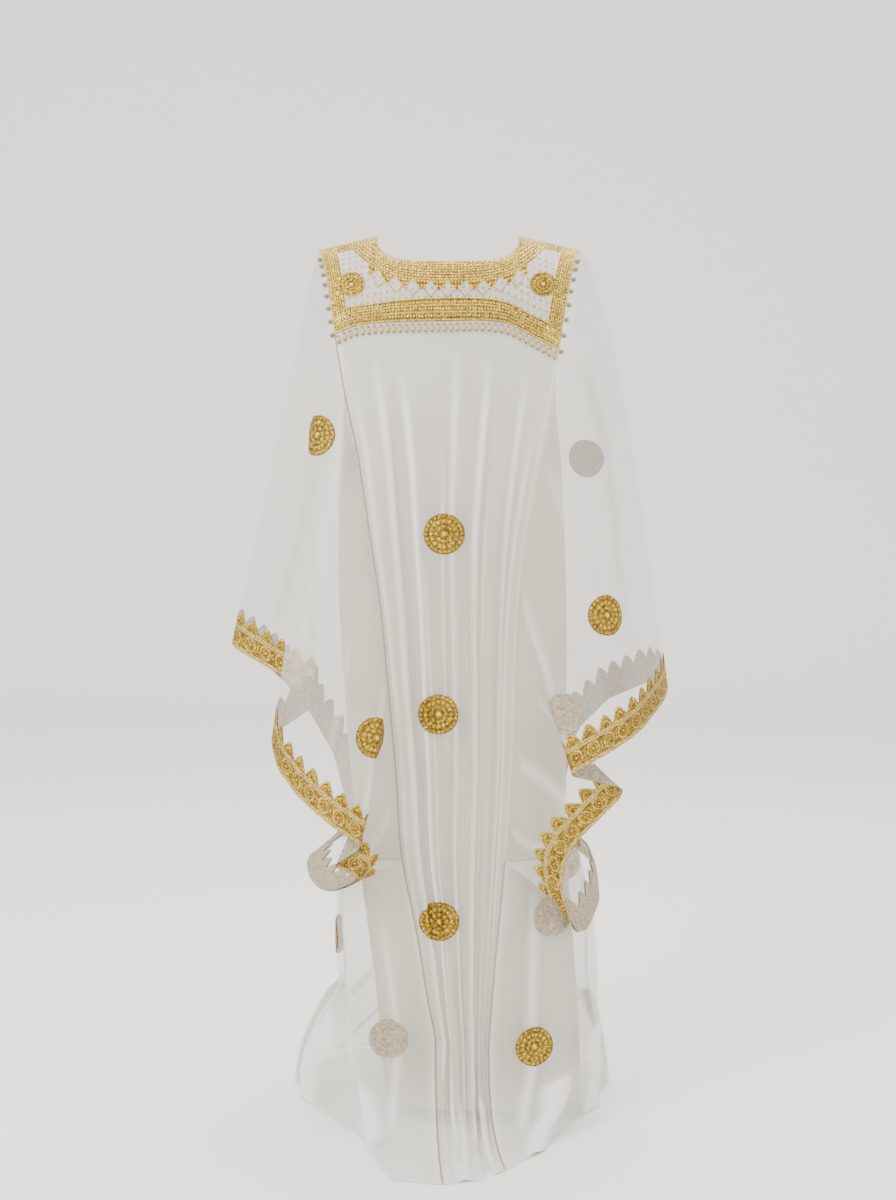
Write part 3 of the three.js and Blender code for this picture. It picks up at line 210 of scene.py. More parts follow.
# Long folds; "at" counts round the dress: 0 to 1 back, 1 to 2 right gore, 2 to 3 front, 3 to 4 left.
BODY_FOLDS = Table(
    "at width depth start full",
    (0.12, 0.1, 20, -210, -620),
    (0.4, 0.13, 9, -260, -900),
    (0.63, 0.09, 18, -190, -560),
    (0.82, 0.08, 14, -230, -640),
    (1.0, 0.1, 12, -330, -760),
    (1.22, 0.08, 15, -950, -1120),
    (1.46, 0.09, 9, -950, -1150),
    (1.72, 0.09, 15, -950, -1130),
    (2.14, 0.09, 18, -230, -600),
    (2.38, 0.09, 20, -200, -640),
    (2.63, 0.1, 16, -210, -580),
    (2.88, 0.08, 18, -250, -620),
    (3.28, 0.09, 14, -950, -1130),
    (3.54, 0.08, 9, -950, -1150),
    (3.8, 0.09, 15, -950, -1080),
)
HEM = Table(
    "at x y break_z puff",
    (0.0, -8, -327, -1215, 0.0),
    (0.5, 42, -313, -1225, 0.0),
    (1.0, 84, -276, -1225, 0.0),
    (1.14, 128, -214, -1210, 0.1),
    (1.3, 178, -112, -1190, 0.35),
    (1.48, 232, 2, -1175, 0.7),
    (1.66, 262, 112, -1165, 0.9),
    (1.84, 258, 210, -1165, 0.8),
    (2.0, 206, 284, -1170, 0.6),
    (2.25, 108, 312, -1185, 0.4),
    (2.5, 6, 318, -1190, 0.3),
    (2.75, -96, 308, -1185, 0.4),
    (3.0, -188, 272, -1170, 0.6),
    (3.16, -240, 205, -1160, 0.85),
    (3.34, -252, 118, -1155, 0.9),
    (3.5, -222, 22, -1160, 0.75),
    (3.64, -176, -62, -1175, 0.4),
    (3.76, -124, -142, -1195, 0.1),
    (3.86, -106, -236, -1205, 0.0),
    (3.94, -84, -312, -1210, 0.0),
)
YOKE_HEM = Table(
    "at back front",
    (0, -148, -156),
    (0.12, -134, -150),
    (0.5, -129, -147),
    (0.74, -131, -149),
    (0.88, -152, -152),
    (1, -172, -156),
)
NECKLINE = {Half.BACK: (40.0, 75.0, 4), Half.FRONT: (85.0, 72.0, 2)}  # drop, depth, roundness
# The mouth of each sleeve: one band that falls in folds, from the side of the body, up the back.
MOUTHS = {
    Side.LEFT: Table(
        "at x y z",
        (0, -224, 6, -975),
        (0.02, -216, -38, -988),
        (0.04, -196, -86, -996),
        (0.06, -172, -122, -988),
        (0.085, -140, -146, -970),
        (0.1, -136, -164, -956),
        (0.14, -168, -170, -942),
        (0.16, -168, -186, -932),
        (0.18, -132, -190, -910),
        (0.2, -127, -208, -900),
        (0.25, -172, -200, -872),
        (0.32, -222, -170, -836),
        (0.38, -256, -134, -796),
        (0.415, -268, -106, -762),
        (0.43, -262, -84, -750),
        (0.465, -201, -56, -712),
        (0.475, -199, -32, -704),
        (0.515, -336, 20, -634),
        (0.53, -342, 40, -624),
        (0.6, -292, 104, -672),
        (0.7, -230, 146, -748),
        (0.8, -188, 160, -830),
        (0.88, -168, 152, -905),
        (0.93, -178, 130, -950),
        (0.965, -204, 88, -966),
        (0.985, -220, 44, -970),
    ),
    Side.RIGHT: Table(
        "at x y z",
        (0, 236, 14, -990),
        (0.02, 236, -50, -1020),
        (0.04, 214, -112, -1050),
        (0.055, 194, -134, -1052),
        (0.08, 172, -148, -985),
        (0.095, 172, -150, -945),
        (0.11, 190, -140, -912),
        (0.17, 262, -128, -842),
        (0.19, 264, -146, -826),
        (0.235, 190, -166, -804),
        (0.26, 182, -196, -794),
        (0.32, 234, -186, -768),
        (0.4, 290, -138, -738),
        (0.46, 332, -62, -704),
        (0.485, 342, -18, -688),
        (0.54, 322, 50, -690),
        (0.63, 262, 112, -728),
        (0.73, 212, 148, -784),
        (0.82, 194, 158, -868),
        (0.9, 190, 150, -945),
        (0.95, 214, 116, -980),
        (0.985, 236, 54, -986),
    ),
}
SLEEVE_FOLDS = Table(
    "at width depth",
    (0.31, 0.03, -7),
    (0.37, 0.025, 8),
    (0.64, 0.035, 10),
    (0.72, 0.03, -8),
    (0.8, 0.035, 9),
)
SLEEVE_FULLNESS = {Side.LEFT: 9.0, Side.RIGHT: 24.0}
SLEEVE_DEPTH = 16.0
LINING = Table(
    "z left right depth",
    (-140, -160, 160, 104),
    (-230, -160, 166, 105),
    (-400, -168, 178, 106),
    (-565, -169, 184, 106),
    (-941, -142, 187, 106),
    (-1190, -112, 205, 106),
    (-1370, -98, 212, 106),
)
LINING_HEM_Z = -1338.0
LINING_ARMHOLE_Z = -232.0
LINING_TUCK = 5.0
LINING_LIP = 1.7
LINING_TOP_SPAN = (0.04, 0.96)
LINING_ROUNDNESS = 0.85
LINING_FULLNESS = 0.8
LINING_ARMHOLE_SHARE = 0.14
LINING_SETTLES = 110.0
BACK_ROUNDELS = Table("x z", (-7, -444), (-15, -724), (-14, -1040))

# Fine creases of a panel: where across it (0 to 1), how wide, how deep, and the stretch of the fall.
CREASES = {
    "body_back": Table(
        "at width depth start end lean",
        (0.05, 0.031, 3.1, 0.05, 0.95, 0.01),
        (0.165, 0.037, 4.1, 0.02, 1.3, -0.02),
        (0.215, 0.024, -2.6, 0.1, 1.5, -0.01),
        (0.29, 0.034, 5, 0.04, 1.7, 0.015),
        (0.345, 0.02, 2.4, 0.3, 1.2, 0.02),
        (0.47, 0.025, 2.2, 0.15, 0.7, -0.015),
        (0.545, 0.034, 3.6, 0.02, 1.5, -0.03),
        (0.6, 0.024, -2.9, 0.08, 1, 0),
        (0.69, 0.031, 4.6, 0.03, 1.8, -0.02),
        (0.74, 0.022, 2.9, 0.2, 1.2, 0.01),
        (0.875, 0.029, 3.6, 0.03, 1.4, 0.02),
        (0.94, 0.024, 2.4, 0.1, 1, -0.01),
        (0.2, 0.11, 2.6, 1.28, 2.3, 0.1),
        (0.47, 0.11, 2.6, 1.32, 2.3, -0.12),
        (0.66, 0.11, -2, 1.25, 2.2, 0.05),
        (0.82, 0.11, 2.6, 1.25, 2.3, 0.06),
    ),
    "body_front": Table(
        "at width depth start end lean",
        (0.08, 0.034, 3.6, 0.04, 1.2, 0.01),
        (0.21, 0.027, 3.1, 0.1, 1.6, -0.02),
        (0.3, 0.034, 4.3, 0.02, 1.4, 0.02),
        (0.47, 0.031, 2.6, 0.05, 1, 0),
        (0.56, 0.024, -2.6, 0.2, 1.5, 0.01),
        (0.7, 0.034, 4.1, 0.03, 1.7, -0.02),
        (0.79, 0.025, 2.9, 0.15, 0.9, 0.015),
        (0.92, 0.031, 3.6, 0.05, 1.3, -0.01),
        (0.25, 0.11, 2.6, 1.28, 2.3, 0.08),
        (0.55, 0.11, 2.6, 1.3, 2.3, -0.06),
        (0.8, 0.11, 2.6, 1.26, 2.3, 0.05),
    ),
    "side_left": Table(
        "at width depth start end lean",
        (0.12, 0.03, 3.0, 0.75, 1.6, 0.03),
        (0.42, 0.035, 3.6, 0.8, 1.8, -0.02),
        (0.66, 0.03, 2.8, 0.76, 1.5, 0.02),
        (0.9, 0.025, 2.4, 0.8, 1.7, 0.0),
        (0.22, 0.08, 7.0, 1.25, 2.3, 0.04),
        (0.5, 0.09, 8.0, 1.2, 2.3, -0.05),
        (0.78, 0.07, 6.0, 1.3, 2.3, 0.03),
    ),
    "side_right": Table(
        "at width depth start end lean",
        (0.1, 0.03, 3.2, 0.76, 1.7, -0.02),
        (0.34, 0.03, -2.6, 0.8, 1.6, 0.02),
        (0.6, 0.035, 3.4, 0.75, 1.8, 0.03),
        (0.86, 0.025, 2.6, 0.78, 1.5, -0.01),
        (0.18, 0.08, 6.0, 1.25, 2.3, -0.03),
        (0.45, 0.09, 8.0, 1.2, 2.3, 0.06),
        (0.75, 0.08, 7.0, 1.28, 2.3, -0.04),
    ),
    "sleeve_left": Table(
        "at width depth start end lean",
        (0.15, 0.008, 2.4, 0.1, 0.9, 0.006),
        (0.23, 0.011, 3.6, 0.05, 0.95, -0.008),
        (0.285, 0.008, 2.4, 0.3, 0.95, 0.006),
        (0.345, 0.01, 3.0, 0.02, 0.8, 0.01),
        (0.43, 0.008, 2.6, 0.02, 0.7, -0.006),
        (0.56, 0.01, 3.0, 0.03, 0.9, 0.008),
        (0.68, 0.012, 3.4, 0.1, 0.95, -0.01),
        (0.77, 0.009, 2.4, 0.05, 0.8, 0.006),
        (0.86, 0.01, 2.8, 0.1, 0.9, 0.0),
    ),
    "sleeve_right": Table(
        "at width depth start end lean",
        (0.13, 0.008, 2.4, 0.1, 0.9, 0.006),
        (0.2, 0.01, 3.0, 0.05, 0.95, 0.006),
        (0.27, 0.011, 3.6, 0.05, 0.95, -0.008),
        (0.335, 0.009, 2.8, 0.2, 0.9, 0.008),
        (0.4, 0.01, 3.2, 0.02, 0.8, -0.006),
        (0.46, 0.008, 2.4, 0.02, 0.6, 0.0),
        (0.57, 0.01, 3.0, 0.03, 0.9, 0.008),
        (0.66, 0.012, 3.4, 0.1, 0.95, 0.01),
        (0.76, 0.009, 2.6, 0.05, 0.8, -0.006),
        (0.88, 0.01, 2.8, 0.1, 0.9, 0.0),
    ),
    "lining": Table(
        "at width depth start end lean",
        (0.2, 0.04, 2.0, 0.3, 1.0, 0.02),
        (0.45, 0.05, 2.6, 0.4, 1.0, -0.02),
        (0.72, 0.04, 2.2, 0.25, 1.0, 0.01),
    ),
}


# ---------------------------------------------------------------- surfaces of the dress


def smoothstep(value: Array) -> Array:
    """Ease from 0 to 1.

    Args:
        value: numbers, of which 0 to 1 is the ramp.

    Returns:
        The eased numbers.
    """
    t = np.clip(value, 0.0, 1.0)
    return t * t * (3 - 2 * t)


def ridge(distance: Array, width: Array) -> Array:
    """Height of a soft ridge, one at its middle and nothing a width away.

    Args:
        distance: distance from the ridge's middle.
        width: half its foot.

    Returns:
        The height.
    """
    t = np.abs(distance) / width
    return np.where(t < 1, (1 - t * t) ** 2, 0.0)


def mix(low: Array, high: Array, share: Array) -> Array:
    """Blend two values.

    Args:
        low: value at share 0.
        high: value at share 1.
        share: the place between them.

    Returns:
        The blend.
    """
    return low + (high - low) * share


def stack(x: Array, y: Array, z: Array) -> Array:
    """Join coordinates into points.

    Args:
        x: across the dress.
        y: from back to front.
        z: height.

    Returns:
        Points along the last axis.
    """
    return np.stack(np.broadcast_arrays(x, y, z), axis=-1).astype(float)


def unit(vectors: Array) -> Array:
    """Scale vectors to length one.

    Args:
        vectors: vectors along the last axis.

    Returns:
        The directions.
    """
    length = np.linalg.norm(vectors, axis=-1, keepdims=True)
    return vectors / np.maximum(length, 1e-9)


def fold_depth(at: Array, z: Array) -> Array:
    """How far the long folds push the cloth out.

    Args:
        at: place round the dress, 0 to 4.
        z: height.

    Returns:
        The push.
    """
    total = np.zeros(np.broadcast(at, z).shape)
    for place, width, depth, start, full in BODY_FOLDS.data:
        turn = np.abs(at - place)
        distance = np.minimum(turn, 4 - turn)
        total = total + depth * smoothstep((start - z) / (start - full)) * ridge(distance, width)
    return total


def roundel_calm(x: Array, z: Array) -> Array:
    """Stiff roundels hold the tulle flat around them.

    Args:
        x: across the back.
        z: height.

    Returns:
        0 on a roundel, 1 away from it.
    """
    nearest = np.full(np.broadcast(x, z).shape, 1e9)
    for spot_x, spot_z in BACK_ROUNDELS.data:
        nearest = np.minimum(nearest, np.hypot(x - spot_x, z - spot_z))
    stiff, loose = 0.75, 2.1
    return smoothstep((nearest / ROUNDEL_RADIUS - stiff) / (loose - stiff))


def ring_point(at: Array, z: Array) -> Array:
    """A point of the falling cloth.

    Args:
        at: place round the dress, 0 to 4.
        z: height.

    Returns:
        Points.
    """
    at, z = np.broadcast_arrays(np.asarray(at, float), np.asarray(z, float))
    turn = np.mod(at, 4.0)
    quarter = np.minimum(np.floor(turn), 3)
    share = turn - quarter
    seams = {name: CENTRE_SEAMS.smooth(name, z) for name in CENTRE_SEAMS.names[1:]}
    depths = {name: BODY_DEPTHS.smooth(name, z) for name in BODY_DEPTHS.names[1:]}
    bow = (2 * share - 1) ** 2
    fold = fold_depth(turn, z)
    back_x = mix(seams["back_left"], seams["back_right"], share)
    back_y = -(depths["back"] - depths["bow_back"] * bow + fold * roundel_calm(back_x, z))
    front_x = mix(seams["front_right"], seams["front_left"], share)
    front_y = depths["front"] - depths["bow_front"] * bow + fold
    right = quarter == 1
    from_back = np.where(right, share, 1 - share)
    seam_back = np.where(right, seams["back_right"], seams["back_left"])
    seam_front = np.where(right, seams["front_right"], seams["front_left"])
    widest = np.where(right, GORE_SIDES.smooth("right", z), GORE_SIDES.smooth("left", z))
    angle = (from_back - 0.5) * math.pi
    inner = mix(seam_back, seam_front, from_back)
    y_back = -(depths["back"] - depths["bow_back"])
    y_front = depths["front"] - depths["bow_front"]
    wide = np.maximum(np.cos(angle), 0) ** GORE_ROUNDNESS
    side_x = inner + (widest - inner) * wide + np.sign(widest) * np.cos(angle) * fold
    side_y = (y_back + y_front) / 2 + (y_front - y_back) / 2 * np.sin(angle) + np.sin(angle) * fold
    x = np.where(quarter == 0, back_x, np.where(quarter == 2, front_x, side_x))
    y = np.where(quarter == 0, back_y, np.where(quarter == 2, front_y, side_y))
    return stack(x, y, z)


def panel_top(at: Array) -> Array:
    """Height of the top edge of the cloth below the yokes.

    Args:
        at: place round the dress, 0 to 4.

    Returns:
        The height.
    """
    back = YOKE_HEM.smooth("back", np.clip(at, 0, 1))
    front = YOKE_HEM.smooth("front", np.clip(3 - at, 0, 1))
    return np.where(at <= 1, back, np.where((at >= 2) & (at <= 3), front, SLEEVE_SEAM_Z))


@dataclass(frozen=True)
class Landing:
    """How the cloth curves from its break to the hem on the floor, as shares of drop and run.

    "plain" goes with a hem that only slides out, "full" with one that puffs up before it lands.
    """

    first_run: float = 0.35
    first_drop_plain: float = 0.78
    first_drop_full: float = 0.2
    second_run_plain: float = 0.3
    second_run_full: float = 0.97
    second_rise: float = 0.62
    fold_height: float = 0.45
    fold_level: float = -1200.0
    fold_spread: float = 0.7


LANDING = Landing()


def dress_point(at: Array, down: Array) -> Array:
    """A point of the dress below the yokes.

    Args:
        at: place round the dress, 0 to 4.
        down: 0 at the top edge, 0.75 at the sleeve seam, 1 at the break and 2 at the hem.

    Returns:
        Points.
    """
    at, down = np.broadcast_arrays(np.asarray(at, float), np.asarray(down, float))
    break_z = HEM.around("break_z", at, 4.0)
    upper = mix(panel_top(at), SLEEVE_SEAM_Z, down / SLEEVE_SEAM_SHARE)
    lower = mix(SLEEVE_SEAM_Z, break_z, (down - SLEEVE_SEAM_SHARE) / (1 - SLEEVE_SEAM_SHARE))
    z = np.where(down <= SLEEVE_SEAM_SHARE, upper, np.minimum(lower, SLEEVE_SEAM_Z))
    falling = ring_point(at, np.maximum(z, break_z))
    start = ring_point(at, break_z)
    hem_z = FLOOR_Z + HEM_LIFT
    end = stack(HEM.around("x", at, 4.0), HEM.around("y", at, 4.0), hem_z)
    puff = HEM.around("puff", at, 4.0)
    drop = start[..., 2] - hem_z
    across = end - start
    across[..., 2] = 0
    first = start + across * (LANDING.first_run * puff)[..., None]
    first[..., 2] = start[..., 2] - drop * mix(LANDING.first_drop_plain, LANDING.first_drop_full, puff)
    second = start + across * mix(LANDING.second_run_plain, LANDING.second_run_full, puff)[..., None]
    second[..., 2] = hem_z + drop * LANDING.second_rise * puff
    t = np.clip(down - 1, 0, 1)[..., None]
    landing = (1 - t) ** 3 * start + 3 * (1 - t) ** 2 * t * first + 3 * (1 - t) * t * t * second + t**3 * end
    swell = np.sin(math.pi * t[..., 0]) ** LANDING.fold_spread
    folds = fold_depth(at, LANDING.fold_level) * LANDING.fold_height
    landing[..., 2] += folds * swell * smoothstep(t[..., 0] * 3)
    return np.where((down <= 1)[..., None], falling, landing)


def yoke_point(half: Half, across: Array, down: Array) -> Array:
    """A point of a yoke.

    Args:
        half: back or front.
        across: 0 to 1 from the wearer's left to right.
        down: 0 at the shoulder and neck edge, 1 at the lower edge.

    Returns:
        Points.
    """
    across, down = np.broadcast_arrays(np.asarray(across, float), np.asarray(down, float))
    drop, depth, roundness = NECKLINE[half]
    shoulder_x = np.where(across < 0.5, SHOULDER_LEFT, SHOULDER_RIGHT)
    outward = np.abs(across - 0.5) - (0.5 - NECK_SHARE)
    share = np.clip(outward / NECK_SHARE, 0, 1)
    place = np.clip((across - 0.5) / (0.5 - NECK_SHARE), -1, 1)
    on_shoulder = outward >= 0
    top_x = np.where(on_shoulder, mix(np.sign(shoulder_x) * NECK_HALF, shoulder_x, share), NECK_HALF * place)
    top_y = np.where(on_shoulder, 0.0, half.sign * depth * np.sqrt(1 - place**2))
    top_z = np.where(on_shoulder, -SHOULDER_DROP * share, -drop * np.sqrt(1 - place**roundness))
    hem_z = YOKE_HEM.smooth(half.value, across)
    bottom = ring_point(across if half is Half.BACK else 3 - across, hem_z)
    turn = down * math.pi / 2
    return stack(
        mix(top_x, bottom[..., 0], down),
        mix(top_y, bottom[..., 1], np.sin(turn)),
        mix(top_z, bottom[..., 2], 1 - np.cos(turn)),
    )


def lining_point(half: Half, across: Array, down: Array) -> Array:
    """A point of the lining.

    Args:
        half: back or front.
        across: 0 at the wearer's left side seam, 1 at the right one.
        down: 0 at its top edge, 1 at its hem.

    Returns:
        Points.
    """
    across, down = np.broadcast_arrays(np.asarray(across, float), np.asarray(down, float))
    edge = LINING_ARMHOLE_SHARE
    yoke_share = mix(*LINING_TOP_SPAN, np.clip((across - edge) / (1 - 2 * edge), 0, 1))
    lip_z = YOKE_HEM.smooth(half.value, yoke_share) + LINING_TUCK
    lip = ring_point(yoke_share if half is Half.BACK else 3 - yoke_share, lip_z)
    lip_y = lip[..., 1] - half.sign * LINING_LIP
    beyond = 1 - np.clip(np.minimum(across, 1 - across) / edge, 0, 1)
    armhole = {name: LINING.smooth(name, np.array(LINING_ARMHOLE_Z)) for name in ("left", "right")}
    side_x = np.where(across < 0.5, armhole["left"], armhole["right"])
    top_x = mix(lip[..., 0], side_x, np.sin(beyond * math.pi / 2))
    top_y = mix(lip_y, 0.0, smoothstep(beyond) * 0.4 + beyond * 0.6)
    top_z = mix(lip[..., 2], LINING_ARMHOLE_Z, smoothstep(beyond))
    z = mix(top_z, LINING_HEM_Z, down)
    left, right = LINING.smooth("left", z), LINING.smooth("right", z)
    angle = (1 - across) * math.pi
    swing = np.cos(angle)
    x = (left + right) / 2 + (right - left) / 2 * np.sign(swing) * np.abs(swing) ** LINING_ROUNDNESS
    y = half.sign * LINING.smooth("depth", z) * np.abs(np.sin(angle)) ** LINING_FULLNESS
    settled = smoothstep((top_z - z) / LINING_SETTLES)
    return stack(mix(top_x, x, settled), mix(top_y, y, settled), z)


class SleeveSurface:
    """One sleeve: straight lines from the armhole to the folded mouth, made full in between."""

    corner_share = 0.42
    seam_share = 0.07
    fold_radius = 9.0
    samples = 3000
    top_focus = 1.5
    hump_skew = 0.62
    calm_rate = 5.0
    fold_onset = 1.4
    fold_fade = 0.35
    under_share = 0.08
    under_rate = 12.0
    under_room = 1.3
    under_onset = 6.0

    def __init__(self, side: Side) -> None:
        """Measure the sleeve's mouth, so that it can be read by length.

        Args:
            side: which sleeve.
        """
        self.side = side
        table = MOUTHS[side]
        share = np.linspace(0, 1, self.samples, endpoint=False)
        line = stack(*(table.around(axis, share, 1.0) for axis in "xyz"))
        step = np.linalg.norm(np.roll(line, -1, axis=0) - line, axis=1)
        travel = np.concatenate([[0], np.cumsum(step)])
        self.mouth_length = travel[-1]
        even = np.linspace(0, self.mouth_length, self.samples, endpoint=False)
        closed = np.vstack([line, line[:1]])
        line = stack(*(np.interp(even, travel, closed[:, axis]) for axis in range(3)))
        share = np.interp(even, travel, np.append(share, 1.0))
        reach = int(self.fold_radius * 3 / (self.mouth_length / self.samples))
        offsets = np.arange(-reach, reach + 1)
        weights = np.exp(-0.5 * (offsets * self.mouth_length / self.samples / self.fold_radius) ** 2)
        weights /= weights.sum()
        self.line = sum(w * np.roll(line, -o, axis=0) for o, w in zip(offsets, weights))
        self.share = share
        self.even = even / self.mouth_length

    def share_at(self, around: Array) -> Array:
        """Turn a place by length along the mouth into a share of the armhole.

        Args:
            around: 0 to 1 along the mouth.

        Returns:
            The share.
        """
        return np.interp(around, np.append(self.even, 1.0), np.append(self.share, 1.0))

    def around_at(self, share: float) -> float:
        """Turn a share of the armhole into a place by length along the mouth.

        Args:
            share: share of the armhole.

        Returns:
            The place, 0 to 1.
        """
        return float(np.interp(share, self.share, self.even))

    def mouth(self, around: Array) -> Array:
        """A point of the mouth.

        Args:
            around: 0 to 1 along it.

        Returns:
            Points.
        """
        return stack(*(np.interp(np.mod(around, 1), self.even, self.line[:, i], period=1) for i in range(3)))

    def outward(self, point: Array) -> Array:
        """Level direction out of the side of the dress under the arm.

        Args:
            point: points near the gore.

        Returns:
            Directions.
        """
        return unit(stack(point[..., 0] - GORE_MIDDLE[self.side.value], point[..., 1], 0.0))

    def armhole(self, share: Array) -> Array:
        """Where the sleeve is sewn on: under the arm, up the back seam, over the shoulder, down.

        Args:
            share: 0 to 1 round the armhole.

        Returns:
            Points.
        """
        left = self.side is Side.LEFT
        back = share < 0.5
        travel = np.where(back, share, 1 - share)
        low, corner = self.seam_share, self.corner_share
        place = np.where(back, 0.0 if left else 1.0, 3.0 if left else 2.0)
        down = SLEEVE_SEAM_SHARE * (1 - np.clip((travel - low) / (corner - low), 0, 1))
        point = dress_point(place, down)
        yoke_down = 1 - np.clip((travel - corner) / (0.5 - corner), 0, 1)
        edge = 0.0 if left else 1.0
        on_back = yoke_point(Half.BACK, np.full_like(yoke_down, edge), yoke_down)
        on_front = yoke_point(Half.FRONT, np.full_like(yoke_down, edge), yoke_down)
        on_yoke = np.where(back[..., None], on_back, on_front)
        point = np.where((travel > corner)[..., None], on_yoke, point)
        under = np.clip(travel / low, 0, 1)
        towards = np.where(left == back, 0.499, -0.499)
        gore = ring_point((3.5 if left else 1.5) + towards * under, SLEEVE_SEAM_Z)
        gore[..., 2] += UNDERARM_LIFT
        gore = gore + self.outward(gore) * (UNDERARM_LAP * (1 - under**6))[..., None]
        return np.where((travel < low)[..., None], gore, point)

    def point(self, around: Array, out: Array) -> Array:
        """A point of the sleeve.

        Args:
            around: 0 to 1 along the mouth.
            out: 0 at the armhole, 1 at the mouth.

        Returns:
            Points.
        """
        around, out = np.broadcast_arrays(np.asarray(around, float), np.asarray(out, float))
        share = self.share_at(np.mod(around, 1))
        start, end = self.armhole(share), self.mouth(around)
        point = start + (end - start) * out[..., None]
        high = np.maximum(np.cos((share - 0.5) * 2 * math.pi), 0) ** self.top_focus
        hump = np.sin(math.pi * np.clip(out, 0, 1) ** self.hump_skew)
        point[..., 0] += self.side.sign * SLEEVE_FULLNESS[self.side] * high * hump
        back_front = -np.sin(2 * math.pi * share)
        calm = smoothstep((0.5 - np.abs(0.5 - share)) * self.calm_rate)
        point[..., 1] += back_front * SLEEVE_DEPTH * hump * calm
        fold = sum(depth * ridge(share - at, width) for at, width, depth in SLEEVE_FOLDS.data)
        fold = fold * smoothstep(out * self.fold_onset) * (1 - self.fold_fade * out)
        point[..., 1] += np.sign(back_front) * fold
        under = 1 - smoothstep((np.minimum(share, 1 - share) - self.under_share) * self.under_rate)
        clear = UNDERARM_LAP * self.under_room * under * smoothstep(out * self.under_onset) * (1 - out * out)
        return point + self.outward(point) * clear[..., None]


# ---------------------------------------------------------------- patches: surfaces that pieces lie on


@dataclass
class Patch:
    """A surface read by two places, with its creases and the way that its outside faces."""

    surface: Surface
    outside: float
    creases: Table | None = None
    wraps: bool = False
    step: float = 2e-3

    def frame_at(self, u: Array, v: Array) -> tuple[Array, Array, Array, Array]:
        """Work out points and directions.

        Args:
            u: places across.
            v: places down.

        Returns:
            Points, change per unit of u, change per unit of v, and outward normals.
        """
        u, v = np.broadcast_arrays(np.asarray(u, float), np.asarray(v, float))
        point = self.surface(u, v)
        across = (self.surface(u + self.step, v) - self.surface(u - self.step, v)) / (2 * self.step)
        down = (self.surface(u, v + self.step) - self.surface(u, v - self.step)) / (2 * self.step)
        return point, across, down, unit(np.cross(across, down)) * self.outside

    def crease(self, u: Array, v: Array) -> Array:
        """Height of the fine creases, which fade out at seams.

        Args:
            u: places across.
            v: places down.

        Returns:
            The height.
        """
        if self.creases is None:
            return np.zeros_like(u)
        total = np.zeros_like(u)
        for at, width, depth, start, end, lean in self.creases.data:
            along = smoothstep((v - start) / 0.12) * smoothstep((end - v) / 0.25)
            waver = 0.25 * width * np.sin(v * 9 + at * 40)
            total = total + depth * along * ridge(u - at - lean * (v - start) - waver, width)
        if not self.wraps:
            total = total * smoothstep(np.minimum(u, 1 - u) / 0.035)
        return total

    def bunching(self, u: Array, v: Array) -> Array:
        """How closely the cloth is gathered: along the crests of its creases.

        Args:
            u: places across.
            v: places down.

        Returns:
            0 where the cloth lies open, about 1 on a full crest.
        """
        return np.maximum(self.crease(u, v), 0) / FULL_CREST

    def at(self, u: Array, v: Array, lift: Array | float = 0.0) -> Array:
        """Points on the creased cloth.

        Args:
            u: places across.
            v: places down.
            lift: distance outwards from the cloth.

        Returns:
            Points.
        """
        point, _, _, normal = self.frame_at(u, v)
        return point + normal * (self.crease(np.asarray(u, float) + 0 * v, v + 0 * u) + lift)[..., None]

    def nearest(self, target: Array, us: Array, vs: Array) -> tuple[float, float]:
        """Find the place nearest to a point.

        Args:
            target: the point.
            us: places across to look at.
            vs: places down to look at.

        Returns:
            The best place.
        """
        u, v = np.meshgrid(us, vs)
        away = np.linalg.norm(self.surface(u, v) - target, axis=-1)
        best = np.unravel_index(np.argmin(away), away.shape)
        return float(u[best]), float(v[best])

    def disc(self, u: float, v: float, radius: float, angle: Array, share: Array) -> tuple[Array, Array]:
        """Lay a disc on the cloth by marching out from its middle, so that it follows folds.

        Args:
            u: place of the middle, across.
            v: place of the middle, down.
            radius: radius of the disc.
            angle: directions of the points.
            share: share of the radius of the points, 0 to 1, in even steps.

        Returns:
            Places of the points, across and down.
        """
        _, across, down, normal = self.frame_at(np.array(u), np.array(v))
        first = unit(across)
        second = np.cross(normal, first)
        matrix = np.array([[across @ first, down @ first], [across @ second, down @ second]])
        inverse = np.linalg.inv(matrix)
        steps, rays = 24, 96
        directions = np.linspace(0, 2 * math.pi, rays + 1)
        heading = inverse @ np.stack([np.cos(directions), np.sin(directions)])
        track = np.zeros((steps + 1, 2, len(directions)))
        track[0, 0], track[0, 1] = u, v
        for k in range(steps):
            here = self.surface(track[k, 0], track[k, 1])
            ahead = self.surface(track[k, 0] + heading[0], track[k, 1] + heading[1])
            pace = radius / steps / np.maximum(np.linalg.norm(ahead - here, axis=-1), 1e-6)
            track[k + 1] = track[k] + heading * pace
        row = np.clip(share * steps, 0, steps - 1e-6)
        low = row.astype(int)
        part = row - low
        column = np.mod(angle, 2 * math.pi) / (2 * math.pi) * rays
        left = np.minimum(column.astype(int), rays - 1)
        side = column - left
        places = []
        for axis in range(2):
            near = mix(track[low, axis, left], track[low, axis, left + 1], side)
            far = mix(track[low + 1, axis, left], track[low + 1, axis, left + 1], side)
            places.append(mix(near, far, part))
        return places[0], places[1]


# ---------------------------------------------------------------- shader sockets


